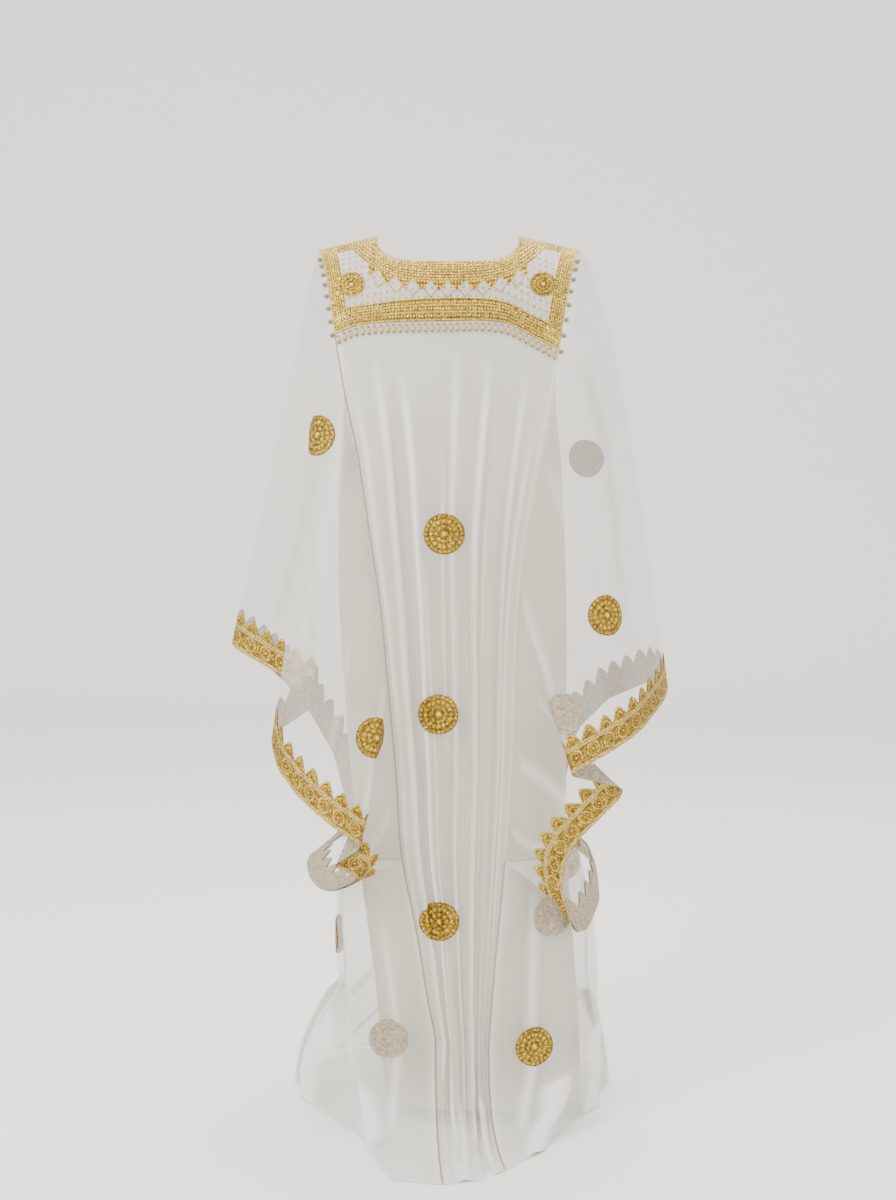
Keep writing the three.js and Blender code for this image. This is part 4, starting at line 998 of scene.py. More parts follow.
class Socket:
    """An output of a shader node, with arithmetic."""

    def __init__(self, tree: bpy.types.NodeTree, output: bpy.types.NodeSocket) -> None:
        """Wrap an output.

        Args:
            tree: the node tree that it is in.
            output: the output.
        """
        self.tree = tree
        self.output = output

    def math(self, operation: str, *others: "Socket | float") -> "Socket":
        """Add a Math node.

        Args:
            operation: its operation.
            *others: its further inputs.

        Returns:
            Its result.
        """
        node = self.tree.nodes.new("ShaderNodeMath")
        node.operation = operation
        for slot, value in zip(node.inputs, (self, *others)):
            if isinstance(value, Socket):
                self.tree.links.new(value.output, slot)
            else:
                slot.default_value = value
        return Socket(self.tree, node.outputs[0])

    def constant(self, value: float) -> "Socket":
        """Make a number into a socket.

        Args:
            value: the number.

        Returns:
            The socket.
        """
        node = self.tree.nodes.new("ShaderNodeValue")
        node.outputs[0].default_value = value
        return Socket(self.tree, node.outputs[0])

    def __add__(self, other: "Socket | float") -> "Socket":
        return self.math("ADD", other)

    __radd__ = __add__

    def __mul__(self, other: "Socket | float") -> "Socket":
        return self.math("MULTIPLY", other)

    __rmul__ = __mul__

    def __sub__(self, other: "Socket | float") -> "Socket":
        return self.math("SUBTRACT", other)

    def __rsub__(self, other: float) -> "Socket":
        return self.constant(other).math("SUBTRACT", self)

    def __truediv__(self, other: "Socket | float") -> "Socket":
        return self.math("DIVIDE", other)

    def __rtruediv__(self, other: float) -> "Socket":
        return self.constant(other).math("DIVIDE", self)

    def __pow__(self, other: "Socket | float") -> "Socket":
        return self.math("POWER", other)

    def __neg__(self) -> "Socket":
        return self.math("MULTIPLY", -1.0)

    def clamped(self) -> "Socket":
        """Keep the value between 0 and 1.

        Returns:
            The clamped value.
        """
        return self.math("MAXIMUM", 0.0).math("MINIMUM", 1.0)

    def ramp(self, low: float, high: float) -> "Socket":
        """Ease from 0 at one value to 1 at another.

        Args:
            low: value that gives 0.
            high: value that gives 1.

        Returns:
            The eased value.
        """
        t = ((self - low) / (high - low)).clamped()
        return t * t * (3.0 - 2.0 * t)

    def mixed(self, low: "Socket | Sequence[float]", high: "Socket | Sequence[float]") -> "Socket":
        """Blend two colours by this value.

        Args:
            low: colour at 0.
            high: colour at 1.

        Returns:
            The blend.
        """
        node = self.tree.nodes.new("ShaderNodeMix")
        node.data_type = "RGBA"
        self.tree.links.new(self.output, node.inputs["Factor"])
        colours = [slot for slot in node.inputs if slot.type == "RGBA"]
        for slot, value in zip(colours, (low, high)):
            if isinstance(value, Socket):
                self.tree.links.new(value.output, slot)
            else:
                slot.default_value = (*value, 1.0)
        return Socket(self.tree, next(out for out in node.outputs if out.type == "RGBA"))

    def scaled(self, factors: Sequence[float]) -> "Socket":
        """Multiply a vector by three factors.

        Args:
            factors: the factors.

        Returns:
            The vector.
        """
        node = self.tree.nodes.new("ShaderNodeVectorMath")
        node.operation = "MULTIPLY"
        self.tree.links.new(self.output, node.inputs[0])
        node.inputs[1].default_value = factors
        return Socket(self.tree, node.outputs[0])


class Shader:
    """A material with one Principled shader, built up node by node."""

    def __init__(self, name: str) -> None:
        """Make an empty material.

        Args:
            name: its name.
        """
        self.material = bpy.data.materials.new(name)
        self.material.use_nodes = True
        self.tree = self.material.node_tree
        self.principled = self.tree.nodes["Principled BSDF"]

    def node(self, kind: str, output: str, settings: dict | None = None, **inputs: object) -> Socket:
        """Add any node.

        Args:
            kind: its type.
            output: name of the output to return.
            settings: properties to set on it.
            **inputs: its inputs, by name, with _ for a space.

        Returns:
            The output.
        """
        made = self.tree.nodes.new(kind)
        for key, value in (settings or {}).items():
            setattr(made, key, value)
        for key, value in inputs.items():
            slot = made.inputs[key.replace("_", " ")]
            if isinstance(value, Socket):
                self.tree.links.new(value.output, slot)
            else:
                slot.default_value = value
        return Socket(self.tree, made.outputs[output])

    def place(self) -> Socket:
        """Object coordinates.

        Returns:
            The vector.
        """
        return self.node("ShaderNodeTexCoord", "Object")

    def attribute(self, name: str) -> Socket:
        """A number stored on the mesh.

        Args:
            name: the attribute's name.

        Returns:
            The number.
        """
        return self.node("ShaderNodeAttribute", "Fac", {"attribute_name": name})

    def noise(self, vector: Socket, scale: float, detail: float = 2.0) -> Socket:
        """Soft noise.

        Args:
            vector: where it is read.
            scale: how fine it is.
            detail: how many finer layers it has.

        Returns:
            The value, 0 to 1.
        """
        return self.node("ShaderNodeTexNoise", "Fac", Vector=vector, Scale=scale, Detail=detail)

    def cells(self, vector: Socket, scale: float, output: str = "Distance") -> Socket:
        """Cells of random size.

        Args:
            vector: where they are read.
            scale: how fine they are.
            output: name of the node's output.

        Returns:
            That output.
        """
        return self.node("ShaderNodeTexVoronoi", output, Vector=vector, Scale=scale)

    def bump(self, height: Socket, strength: float, distance: float) -> Socket:
        """Turn a height into a normal.

        Args:
            height: the height.
            strength: how strong the bump is.
            distance: real height of a full step.

        Returns:
            The normal.
        """
        return self.node("ShaderNodeBump", "Normal", Height=height, Strength=strength, Distance=distance)

    def set(self, name: str, value: object) -> None:
        """Set or drive an input of the Principled shader.

        Args:
            name: the input's name.
            value: a socket or a plain value.
        """
        slot = self.principled.inputs[name]
        if isinstance(value, Socket):
            self.tree.links.new(value.output, slot)
        else:
            slot.default_value = value


# ---------------------------------------------------------------- finishes


@dataclass(frozen=True)
class Tulle:
    """Fine net in several loose layers: mostly clear, a little denser where layers bunch."""

    name: str
    color: tuple[float, float, float] = (0.76, 0.738, 0.69)
    cover: float = 0.33
    uneven: float = 0.2
    net: float = 0.12
    bunched: float = 0.34
    slot: str = "tulle"

    def build(self) -> bpy.types.Material:
        """Make the material.

        Returns:
            The material.
        """
        shader = Shader(self.name)
        place = shader.place()
        streaks = shader.noise(place.scaled((26.0, 26.0, 1.6)), 1.0, 3.0)
        mesh = shader.noise(place, 1400.0, 1.0)
        layers = shader.attribute("layers")
        cover = self.cover + (streaks - 0.5) * self.uneven + (mesh - 0.5) * self.net + layers * self.bunched
        shader.set("Base Color", (*self.color, 1.0))
        shader.set("Alpha", cover.clamped())
        shader.set("Roughness", 0.8)
        shader.set("Sheen Weight", 0.25)
        shader.set("Sheen Roughness", 0.5)
        shader.set("Normal", shader.bump(mesh, 0.25, 0.0006))
        return shader.material


@dataclass(frozen=True)
class PlainCloth:
    """Opaque woven cloth."""

    name: str
    color: tuple[float, float, float]
    slot: str = "lining"
    weave: float = 900.0
    shade: float = 0.95
    cloud: float = 5.0

    def build(self) -> bpy.types.Material:
        """Make the material.

        Returns:
            The material.
        """
        shader = Shader(self.name)
        place = shader.place()
        threads = shader.noise(place.scaled((1.0, 1.0, 3.0)), self.weave, 1.0)
        cloud = shader.noise(place, self.cloud, 2.0).ramp(0.3, 0.7)
        darker = tuple(part * self.shade for part in self.color)
        shader.set("Base Color", cloud.mixed(darker, self.color))
        shader.set("Roughness", 0.85)
        shader.set("Normal", shader.bump(threads, 0.3, 0.0004))
        return shader.material


@dataclass(frozen=True)
class Embroidery:
    """Metal thread on cloth; marks for gold, cream and painted light are stored on each point. The
    painted-light mark darkens the grooves (painted shade) and lightens raised threads (painted highlight),
    and this material adds speckled painted glints to it.
    """

    name: str
    ground: tuple[float, float, float]
    # dark is painted shade for the grooves, bright is painted highlight and glint on raised threads and
    # sequins; middle is the gold between.
    dark: tuple[float, float, float] = (0.085, 0.045, 0.004)
    middle: tuple[float, float, float] = (0.32, 0.195, 0.013)
    bright: tuple[float, float, float] = (0.88, 0.63, 0.12)
    cream: tuple[float, float, float] = (0.62, 0.48, 0.22)
    metal: float = 0.72
    speck: float = 620.0
    sequin: float = 420.0
    slot: str = "gold_embroidery"

    def build(self) -> bpy.types.Material:
        """Make the material.

        Returns:
            The material.
        """
        shader = Shader(self.name)
        place = shader.place()
        speckle = shader.noise(place, self.speck, 2.0)
        # A colour that is multiplied by 1 becomes one number.
        sequins = shader.cells(place, self.sequin, "Color") * 1.0
        grain = shader.cells(place, self.sequin, "Distance")
        # Painted glints: speckle and sequin cells lighten and darken the base colour in small spots, on top
        # of the stored painted shade in grooves and painted highlight on raised threads.
        tone = (shader.attribute("tone") + (speckle - 0.5) * 1.3 + (sequins - 0.5) * 0.6).clamped()
        gold = shader.attribute("gold")
        cream = shader.attribute("cream")
        threads = tone.ramp(0.0, 0.5).mixed(self.dark, self.middle)
        threads = tone.ramp(0.45, 1.0).mixed(threads, self.bright)
        threads = cream.mixed(threads, self.cream)
        shader.set("Base Color", gold.mixed(self.ground, threads))
        shader.set("Metallic", gold * (1.0 - cream * 0.7) * self.metal)
        shader.set("Roughness", (0.6 - 0.3 * sequins * gold).clamped())
        shader.set("Normal", shader.bump(speckle * 0.5 + grain * 0.6 + sequins * 0.5, 0.75, 0.0011))
        return shader.material


@dataclass(frozen=True)
class Thread:
    """Plain thread or bead in one colour."""

    name: str
    color: tuple[float, float, float]
    roughness: float = 0.5
    metal: float = 0.0
    slot: str = "gold_embroidery"

    def build(self) -> bpy.types.Material:
        """Make the material.

        Returns:
            The material.
        """
        shader = Shader(self.name)
        grain = shader.noise(shader.place(), 900.0, 2.0)
        darker = tuple(part * 0.6 for part in self.color)
        shader.set("Base Color", grain.ramp(0.25, 0.7).mixed(darker, self.color))
        shader.set("Roughness", self.roughness)
        shader.set("Metallic", self.metal)
        shader.set("Normal", shader.bump(grain, 0.5, 0.0006))
        return shader.material


TULLE = Tulle("tulle")
SLEEVE_TULLE = Tulle("sleeve_tulle", color=(0.72, 0.70, 0.655), cover=0.27)
LINING_CLOTH = PlainCloth("lining_cloth", (0.49, 0.44, 0.345))
YOKE_THREADS = Embroidery("yoke_threads", ground=(0.60, 0.555, 0.52))
CUFF_THREADS = Embroidery("cuff_threads", ground=(0.22, 0.135, 0.02))
ROUNDEL_THREADS = Embroidery("roundel_threads", ground=(0.16, 0.095, 0.012))
REVERSE = PlainCloth(
    "reverse_of_embroidery", (0.43, 0.355, 0.25), slot="gold_embroidery", shade=0.55, cloud=260.0
)
CORD = Thread("neck_cord", (0.46, 0.29, 0.05), 0.4, 0.6)
CREAM_DROPS = Thread("cream_drops", (0.60, 0.46, 0.20), 0.45)
OLIVE_BEADS = Thread("olive_beads", (0.24, 0.20, 0.09), 0.35, 0.3)
GREY_BEADS = Thread("grey_beads", (0.27, 0.22, 0.10), 0.4, 0.2)
STITCHES = Thread("seam_stitches", (0.30, 0.19, 0.07), 0.5, 0.3)


# ---------------------------------------------------------------- making meshes


def deselect() -> None:
    """Leave nothing selected."""
    bpy.ops.object.select_all(action="DESELECT")


def grid_mesh(
    name: str,
    columns: int,
    rows: int,
    place: Callable[[Array, Array], Array],
    marks: dict[str, Callable[[Array, Array], Array]] | None = None,
    merge: bool = False,
) -> bpy.types.Object:
    """Lay a grid on a surface.

    Args:
        name: name of the new object.
        columns: faces across.
        rows: faces down.
        place: gives points, in millimetres, for places 0 to 1 across and down.
        marks: numbers to store on the points, by name.
        merge: whether edges that meet are joined.

    Returns:
        The object.
    """
    deselect()
    bpy.ops.mesh.primitive_grid_add(x_subdivisions=columns, y_subdivisions=rows, size=1.0)
    made = bpy.context.object
    made.name = name
    made.data.name = name
    count = len(made.data.vertices)
    flat = np.empty(count * 3)
    made.data.vertices.foreach_get("co", flat)
    across = np.clip(flat[0::3] + 0.5, 0, 1)
    down = np.clip(0.5 - flat[1::3], 0, 1)
    points = place(across, down) * MM
    made.data.vertices.foreach_set("co", points.reshape(-1))
    for mark, value in (marks or {}).items():
        layer = made.data.attributes.new(mark, "FLOAT", "POINT")
        layer.data.foreach_set("value", np.broadcast_to(value(across, down), (count,)).astype(np.float32))
    made.data.update()
    if merge:
        bpy.ops.object.mode_set(mode="EDIT")
        bpy.ops.mesh.select_all(action="SELECT")
        bpy.ops.mesh.remove_doubles(threshold=1e-5)
        bpy.ops.object.mode_set(mode="OBJECT")
    bpy.ops.object.shade_smooth()
    return made


def scatter(
    name: str, shape: Callable[[], None], places: Sequence[Array], turns: Sequence[Array]
) -> bpy.types.Object:
    """Copy one small shape to many places and join the copies.

    Args:
        name: name of the joined object.
        shape: adds the shape at the origin.
        places: the middles of the copies, in millimetres.
        turns: for each copy, the direction that its length hangs along.

    Returns:
        The object.
    """
    deselect()
    shape()
    model = bpy.context.object
    bpy.ops.object.shade_smooth()
    copies = []
    for spot, turn in zip(places, turns):
        copy = model.copy()
        copy.data = model.data.copy()
        bpy.context.collection.objects.link(copy)
        rotation = Vector((0, 0, -1)).rotation_difference(Vector(turn)).to_matrix().to_4x4()
        copy.data.transform(rotation)
        copy.data.transform(Matrix.Translation(Vector(spot) * MM))
        copies.append(copy)
    bpy.data.objects.remove(model)
    for copy in copies:
        copy.select_set(True)
    bpy.context.view_layer.objects.active = copies[0]
    bpy.ops.object.join()
    joined = bpy.context.object
    joined.name = name
    joined.data.name = name
    return joined


# ---------------------------------------------------------------- embroidery patterns, in millimetres


def stripe(value: Array, middle: float, width: float) -> Array:
    """A soft stripe.

    Args:
        value: distances.
        middle: middle of the stripe.
        width: its full width.

    Returns:
        1 in the middle, 0 outside.
    """
    return ridge(value - middle, width / 2 + 0.4)


def beads(along: Array, across: Array, pitch: float, radius: float) -> Array:
    """A row of round beads.

    Args:
        along: distance along the row.
        across: distance from the row.
        pitch: distance between beads.
        radius: radius of a bead.

    Returns:
        Height of the beads, 0 to 1.
    """
    near = (np.mod(along / pitch, 1.0) - 0.5) * pitch
    return np.sqrt(np.maximum(1 - (near**2 + across**2) / radius**2, 0))


def rosette(radius: Array, angle: Array, size: float) -> tuple[Array, Array]:
    """A round motif: a boss, two rings of petals and a beaded rim.

    Args:
        radius: distance from its middle.
        angle: direction from its middle.
        size: its radius.

    Returns:
        Height, and brightness that is painted highlight on raised threads and the boss and painted shade
        between, 0 to 1.
    """
    r = radius / size
    boss = ridge(r, 0.2)
    inner = ridge(r - 0.36, 0.12) * (0.65 + 0.35 * np.cos(angle * 8))
    petals = ridge(r - 0.62, 0.16) * np.abs(np.cos(angle * 8)) ** 0.6
    rim = ridge(r - 0.88, 0.12) * (0.6 + 0.4 * np.cos(angle * 24))
    height = np.maximum.reduce([boss, inner, petals, rim])
    # Lighter on raised threads and most on the boss, darker between: painted highlight and painted shade.
    tone = 0.18 + 0.5 * height + 0.4 * boss
    return height, tone


# Marks stored on embroidered points; the last is painted shade and highlight, not a thread colour.
THREAD_MARKS = ("gold", "cream", "tone")


@dataclass(frozen=True)
class Pattern:
    """Height and thread marks of a stretch of embroidery."""

    height: Array
    gold: Array
    cream: Array
    # Painted light: darker in grooves as painted shade, lighter on raised threads as painted highlight.
    tone: Array


@dataclass(frozen=True)
class CuffRows:
    """Heights of the rows of a cuff above its lower edge, and the sizes of its rings."""

    picot: float = 1.6
    picot_pitch: float = 3.6
    picot_radius: float = 1.7
    hem_line: float = 4.6
    rings: float = 18.5
    outer_ring: float = 9.6
    inner_ring: float = 5.6
    boss: float = 3.0
    bars: float = 20.0
    filling: float = 11.0
    pale_lines: tuple[float, float] = (31.6, 35.4)
    dots: float = 33.5
    dots_pitch: float = 2.9
    scallops: float = 37.0


CUFF = CuffRows()


@dataclass(frozen=True)
class YokeRows:
    """Widths of the bands of a yoke, and the distances of their rows from the edge they follow."""

    neck_band: float = 41.0
    point_height: float = 15.0
    point_period: float = 26.0
    points_reach: float = 118.0
    leaves: float = 49.0
    leaf_height: float = 14.0
    hem_band: float = 27.0
    side_band: float = 25.0
    shoulder_band: float = 50.0
    neck_beads: tuple[float, ...] = (7.5, 16.0, 24.5, 33.0, 41.0, 47.5)
    hem_beads: tuple[float, ...] = (6.0, 14.0, 21.0)
    side_beads: tuple[float, ...] = (5.0, 12.5, 20.0)
    shoulder_beads: tuple[float, ...] = (7.0, 15.0, 23.0, 31.0, 39.0, 46.0)
    neck_lines: tuple[float, ...] = (2.5, 11.8, 20.3, 28.8, 37.2)
    hem_lines: tuple[float, ...] = (1.6, 10.0, 17.6, 25.6)
    side_lines: tuple[float, ...] = (1.6, 8.8, 16.3, 23.8)
    pale_lines: tuple[float, float] = (31.5, 35.5)
    line_width: float = 1.8
    shoulder_starts: float = 70.0
    shoulder_beads_start: float = 105.0


YOKE = YokeRows()


def cuff_pattern(along: Array, height: Array, period: float) -> Pattern:
    """The cuff: picot, ring motifs between lines, and nested arches above.

    Args:
        along: distance along the band.
        height: distance from its lower edge.
        period: width of one scallop.

    Returns:
        The pattern.
    """
    place = (np.mod(along / period, 1.0) - 0.5) * period
    picot = beads(along, height - CUFF.picot, CUFF.picot_pitch, CUFF.picot_radius)
    hem_line = stripe(height, CUFF.hem_line, 2.0)
    radius = np.hypot(place, height - CUFF.rings)
    angle = np.arctan2(height - CUFF.rings, place)
    ring = ridge(radius - CUFF.outer_ring, 1.9)
    inner = ridge(radius - CUFF.inner_ring, 1.5) * (0.7 + 0.3 * np.cos(angle * 10))
    boss = ridge(radius, CUFF.boss)
    bars = ridge(np.abs(place) - period / 2, 1.6) * stripe(height, CUFF.rings, CUFF.bars)
    filling = np.abs(np.sin(along * 0.9) * np.cos(height * 0.9)) * (radius > CUFF.filling)
    pale = np.maximum.reduce([stripe(height, at, 1.8) for at in CUFF.pale_lines])
    dots = beads(along, height - CUFF.dots, CUFF.dots_pitch, 1.0)
    arch = (height - CUFF.scallops) / SCALLOP_HEIGHT
    edge = 1 - np.abs(2 * place / period) ** SCALLOP_ROUNDNESS
    inside = edge - arch
    rim = ridge(inside - 0.12, 0.14) * (arch > -0.05)
    nest = ridge(inside - 0.45, 0.12) * (arch > 0)
    raised = [picot, hem_line, ring, inner, boss, bars, 0.45 * filling, pale, dots, rim, nest]
    top = np.maximum.reduce(raised)
    cream = np.clip(pale + hem_line * 0.8 + picot * 0.7 + ring * 0.25, 0, 1)
    # Lighter on raised threads and the boss, darker in the grooves: painted highlight and painted shade.
    tone = np.clip(0.2 + 0.55 * top + 0.2 * boss, 0, 1)
    return Pattern(top, np.ones_like(top), cream, tone)


def yoke_pattern(neck: Array, bottom: Array, side: Array, shoulder: Array, x: Array, spots: Array) -> Pattern:
    """The yoke: bands along every edge, points below the neck band and a roundel in each corner.

    Args:
        neck: distance from the neckline.
        bottom: distance from the lower edge.
        side: distance from the nearer side edge.
        shoulder: distance from the shoulder line.
        x: place across.
        spots: distances from the two small roundels, and their directions.

    Returns:
        The pattern.
    """
    middle = np.abs(x) < YOKE.points_reach
    point = 1 - np.abs(np.mod(x / YOKE.point_period, 1.0) - 0.5) * 2
    neck_edge = YOKE.neck_band + YOKE.point_height * point * middle
    in_neck = smoothstep((neck_edge - neck) / 1.5)
    leaf_edge = YOKE.leaves + YOKE.leaf_height * (1 - point)
    leaves = ridge(neck - leaf_edge, 2.2) * middle * (1 - in_neck)
    in_bottom = smoothstep((YOKE.hem_band - bottom) / 1.5)
    in_side = smoothstep((YOKE.side_band - side) / 1.5)
    in_shoulder = smoothstep((YOKE.shoulder_band - shoulder) / 1.5) * (np.abs(x) > YOKE.shoulder_starts)
    spot_height, spot_shade_and_highlight = rosette(spots[0], spots[1], YOKE_ROUNDEL_RADIUS)
    in_spot = smoothstep((YOKE_ROUNDEL_RADIUS - spots[0]) / 1.2)
    along = np.where(side < YOKE.side_band, bottom, x)
    neck_inside = np.where(in_neck > 0.5, neck, 99)
    over_shoulder = np.abs(x) > YOKE.shoulder_beads_start
    rows = [beads(along, neck_inside - at, 4.6, 2.1) for at in YOKE.neck_beads]
    rows += [beads(x, bottom - at, 4.4, 1.9) for at in YOKE.hem_beads]
    rows += [beads(bottom, side - at, 4.6, 2.0) for at in YOKE.side_beads]
    rows += [beads(x, shoulder - at, 4.6, 2.0) * over_shoulder for at in YOKE.shoulder_beads]
    lines = [stripe(neck, at, YOKE.line_width) for at in YOKE.neck_lines]
    lines += [stripe(bottom, at, YOKE.line_width) for at in YOKE.hem_lines]
    lines += [stripe(side, at, YOKE.line_width) for at in YOKE.side_lines]
    rim = ridge(neck - neck_edge + 2.0, 1.6) * middle
    dense = np.maximum.reduce([in_neck, in_bottom, in_side, in_shoulder, leaves])
    relief = np.maximum.reduce(rows + lines + [rim])
    gold = np.maximum(dense, in_spot)
    pale = np.maximum.reduce([stripe(bottom, at, YOKE.line_width) for at in YOKE.pale_lines]) * (1 - gold)
    slants = [np.mod(x / 7.0 + turn * bottom / 9.0, 1.0) for turn in (1, -1)]
    lattice = np.maximum.reduce([ridge(np.abs(slant - 0.5) - 0.25, 0.14) for slant in slants])
    lattice = lattice * 0.55 * (1 - gold)
    sprigs = beads(x, np.mod(bottom, 11.0) - 5.5, 9.5, 2.2)
    scrolls = np.abs(np.sin(x * 0.33 + 1.5 * np.sin(bottom * 0.2)) * np.cos(bottom * 0.31))
    relief = np.maximum(relief, 0.5 * ridge(scrolls - 0.75, 0.25))
    height = np.where(in_spot > 0.5, 0.2 + 0.8 * spot_height, dense * (0.3 + 0.7 * relief))
    height = np.maximum.reduce([height, pale * 0.6, lattice * 0.6, sprigs * 0.4 * (1 - gold)])
    # Lighter on raised beads, lines and scrolls, darker between them: painted highlight and painted shade;
    # the roundels take the rosette's.
    tone = np.where(in_spot > 0.5, spot_shade_and_highlight, 0.2 + 0.6 * relief)
    gold = np.maximum.reduce([gold, pale * 0.9, sprigs * 0.85 * (1 - gold), lattice * 0.6])
    cream = np.clip(pale + 0.3 * np.maximum.reduce(lines) * dense, 0, 1)
    return Pattern(height, gold, cream, np.clip(tone, 0, 1))


# ---------------------------------------------------------------- the dress

# Where each panel starts round the dress, and how far down the fall its top edge is.
BODY_PANELS = {
    "body_back": (0.0, 0.0),
    "side_right": (1.0, SLEEVE_SEAM_SHARE),
    "body_front": (2.0, 0.0),
    "side_left": (3.0, SLEEVE_SEAM_SHARE),
}
# Width and length of each panel's cut, and the cloth in it, in metres.
PANEL_FLATS = {
    "body_back": (0.42, 1.6, 0.4),
    "side_right": (0.7, 0.7, 0.3),
    "body_front": (0.42, 1.6, 0.45),
    "side_left": (0.7, 0.7, 0.3),
}


def body_patch(name: str) -> Patch:
    """The surface of one long panel.

    Args:
        name: its node.

    Returns:
        The patch, read by place across and by fall, 0 to 2.
    """
    start, _ = BODY_PANELS[name]
    return Patch(lambda u, v: dress_point(start + u, v), -1.0, CREASES[name])


def sleeve_patch(side: Side) -> tuple[Patch, SleeveSurface]:
    """The surface of one sleeve.

    Args:
        side: which sleeve.

    Returns:
        The patch, read by place round the mouth and by share of the length, and its surface.
    """
    sleeve = SleeveSurface(side)
    patch = Patch(sleeve.point, -side.sign, CREASES[f"sleeve_{side.value}"], wraps=True)
    return patch, sleeve


def yoke_patch(half: Half) -> Patch:
    """The surface of one yoke.

    Args:
        half: back or front.

    Returns:
        The patch.
    """
    return Patch(lambda u, v: yoke_point(half, np.clip(u, 0, 1), v), half.sign)


def lining_patch(half: Half) -> Patch:
    """The surface of one half of the lining.

    Args:
        half: back or front.

    Returns:
        The patch.
    """
    return Patch(lambda u, v: lining_point(half, np.clip(u, 0, 1), v), half.sign, CREASES["lining"])


@dataclass
class Piece:
    """What every piece of the scene has: its object, its finish and what it stands for."""

    made: bpy.types.Object
    finish: Tulle | PlainCloth | Embroidery | Thread
    nodes: tuple[str, ...] = ()

    def settle(self) -> bpy.types.Object:
        """Give the object its finish and tie it to the frame.

        Returns:
            The object.
        """
        self.made.data.materials.clear()
        self.made.data.materials.append(MATERIALS.get(self.finish))
        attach(self.made, "root")
        if self.nodes:
            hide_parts(*self.nodes)
        area = sum(face.area for face in self.made.data.polygons)
        LOG.info("%s: %d faces, %.3f m2", self.made.name, len(self.made.data.polygons), area)
        return self.made


class MaterialShelf:
    """Materials that have been built, one for each finish."""

    def __init__(self) -> None:
        """Start with none."""
        self.built: dict[str, bpy.types.Material] = {}

    def get(self, finish: Tulle | PlainCloth | Embroidery | Thread) -> bpy.types.Material:
        """Build a finish's material the first time it is asked for.

        Args:
            finish: the finish.

        Returns:
            The material.
        """
        if finish.name not in self.built:
            self.built[finish.name] = finish.build()
        return self.built[finish.name]


MATERIALS = MaterialShelf()


@dataclass
class LongPanels:
    """Centre panels and side gores, of loose tulle."""

    columns: int = 170
    rows: int = 210
    gore_columns: int = 110
    gore_rows: int = 130
    seam_width: float = 0.012
    hem_width: float = 0.01
    gather_layers: float = 0.8
    gather_fade: float = 2.6
    floor_layers: float = 0.75
    floor_fade: float = 1.6
    floor_starts: float = 0.95
    flats: dict[str, tuple[float, float, float]] = field(default_factory=lambda: PANEL_FLATS)

    def density(self, patch: Patch, u: Array, down: Array) -> Array:
        """Where the tulle lies in more layers: at seams, on crests and on the floor.

        Args:
            patch: the panel.
            u: places across.
            down: places down the fall.

        Returns:
            The extra layers.
        """
        seam = ridge(np.minimum(u, 1 - u), self.seam_width) + ridge(2 - down, self.hem_width)
        gathered = (1 - smoothstep(down * self.gather_fade)) * self.gather_layers
        landed = smoothstep((down - self.floor_starts) * self.floor_fade) * self.floor_layers
        return seam + gathered + patch.bunching(u, down) + landed

    def build(self) -> None:
        """Make the four panels."""
        for name, (_, top) in BODY_PANELS.items():
            patch = body_patch(name)
            centre = top == 0.0
            columns = self.columns if centre else self.gore_columns
            rows = self.rows if centre else self.gore_rows
            made = grid_mesh(
                name + "_tulle",
                columns,
                rows,
                lambda u, v, patch=patch, top=top: patch.at(u, mix(top, 2.0, v)),
                {"layers": lambda u, v, patch=patch, top=top: self.density(patch, u, mix(top, 2.0, v))},
            )
            Piece(made, TULLE, (name,)).settle()


@dataclass
class Sleeve:
    """A wing sleeve with its cuff, worked in metal thread on the outside."""

    side: Side
    columns: int = 420
    rows: int = 70
    cuff_columns: int = 960
    cuff_rows: int = 30
    reverse_rows: int = 10
    seam_width: float = 0.02
    crest_layers: float = 0.8
    lift: float = 0.9
    relief: float = 1.3
    reverse_depth: float = 0.7
    cuff_share: float = 0.92
    flat: tuple[float, float, float] = (1.45, 0.75, 0.42)

    def build(self) -> None:
        """Make the sleeve, the cuff and the cuff's reverse."""
        patch, surface = sleeve_patch(self.side)
        period = surface.mouth_length / SCALLOPS
        name = self.side.value
        made = grid_mesh(
            f"sleeve_{name}_tulle",
            self.columns,
            self.rows,
            patch.at,
            {"layers": lambda u, v: ridge(v, self.seam_width) + patch.bunching(u, v) * self.crest_layers},
            merge=True,
        )
        Piece(made, SLEEVE_TULLE, (f"sleeve_{name}",)).settle()

        def band(u: Array, v: Array) -> tuple[Array, Array]:
            tip = 1 - np.abs(2 * (np.mod(u * SCALLOPS, 1.0) - 0.5)) ** SCALLOP_ROUNDNESS
            height = v * (BAND_WIDTH + 1.0 + SCALLOP_HEIGHT * tip)
            share = surface.share_at(np.mod(u, 1))
            length = np.linalg.norm(surface.armhole(share) - surface.mouth(u), axis=-1)
            room = np.minimum(self.cuff_share * length / (BAND_WIDTH + SCALLOP_HEIGHT), 1.0)
            return np.clip(1 - height * room / length, 0.02, 1), height

        def face(u: Array, v: Array) -> Array:
            out, height = band(u, v)
            pattern = cuff_pattern(u * surface.mouth_length, height, period)
            return patch.at(u, out, self.lift + self.relief * pattern.height)

        def mark(which: str) -> Callable[[Array, Array], Array]:
            def value(u: Array, v: Array) -> Array:
                return getattr(cuff_pattern(u * surface.mouth_length, band(u, v)[1], period), which)

            return value

        marks = {which: mark(which) for which in THREAD_MARKS}
        cuff = grid_mesh(f"cuff_{name}_face", self.cuff_columns, self.cuff_rows, face, marks, merge=True)
        Piece(cuff, CUFF_THREADS, (f"cuff_{name}",)).settle()
        back = grid_mesh(
            f"cuff_{name}_reverse",
            self.cuff_columns,
            self.reverse_rows,
            lambda u, v: patch.at(u, band(u, v)[0], -self.reverse_depth),
            merge=True,
        )
        Piece(back, REVERSE).settle()


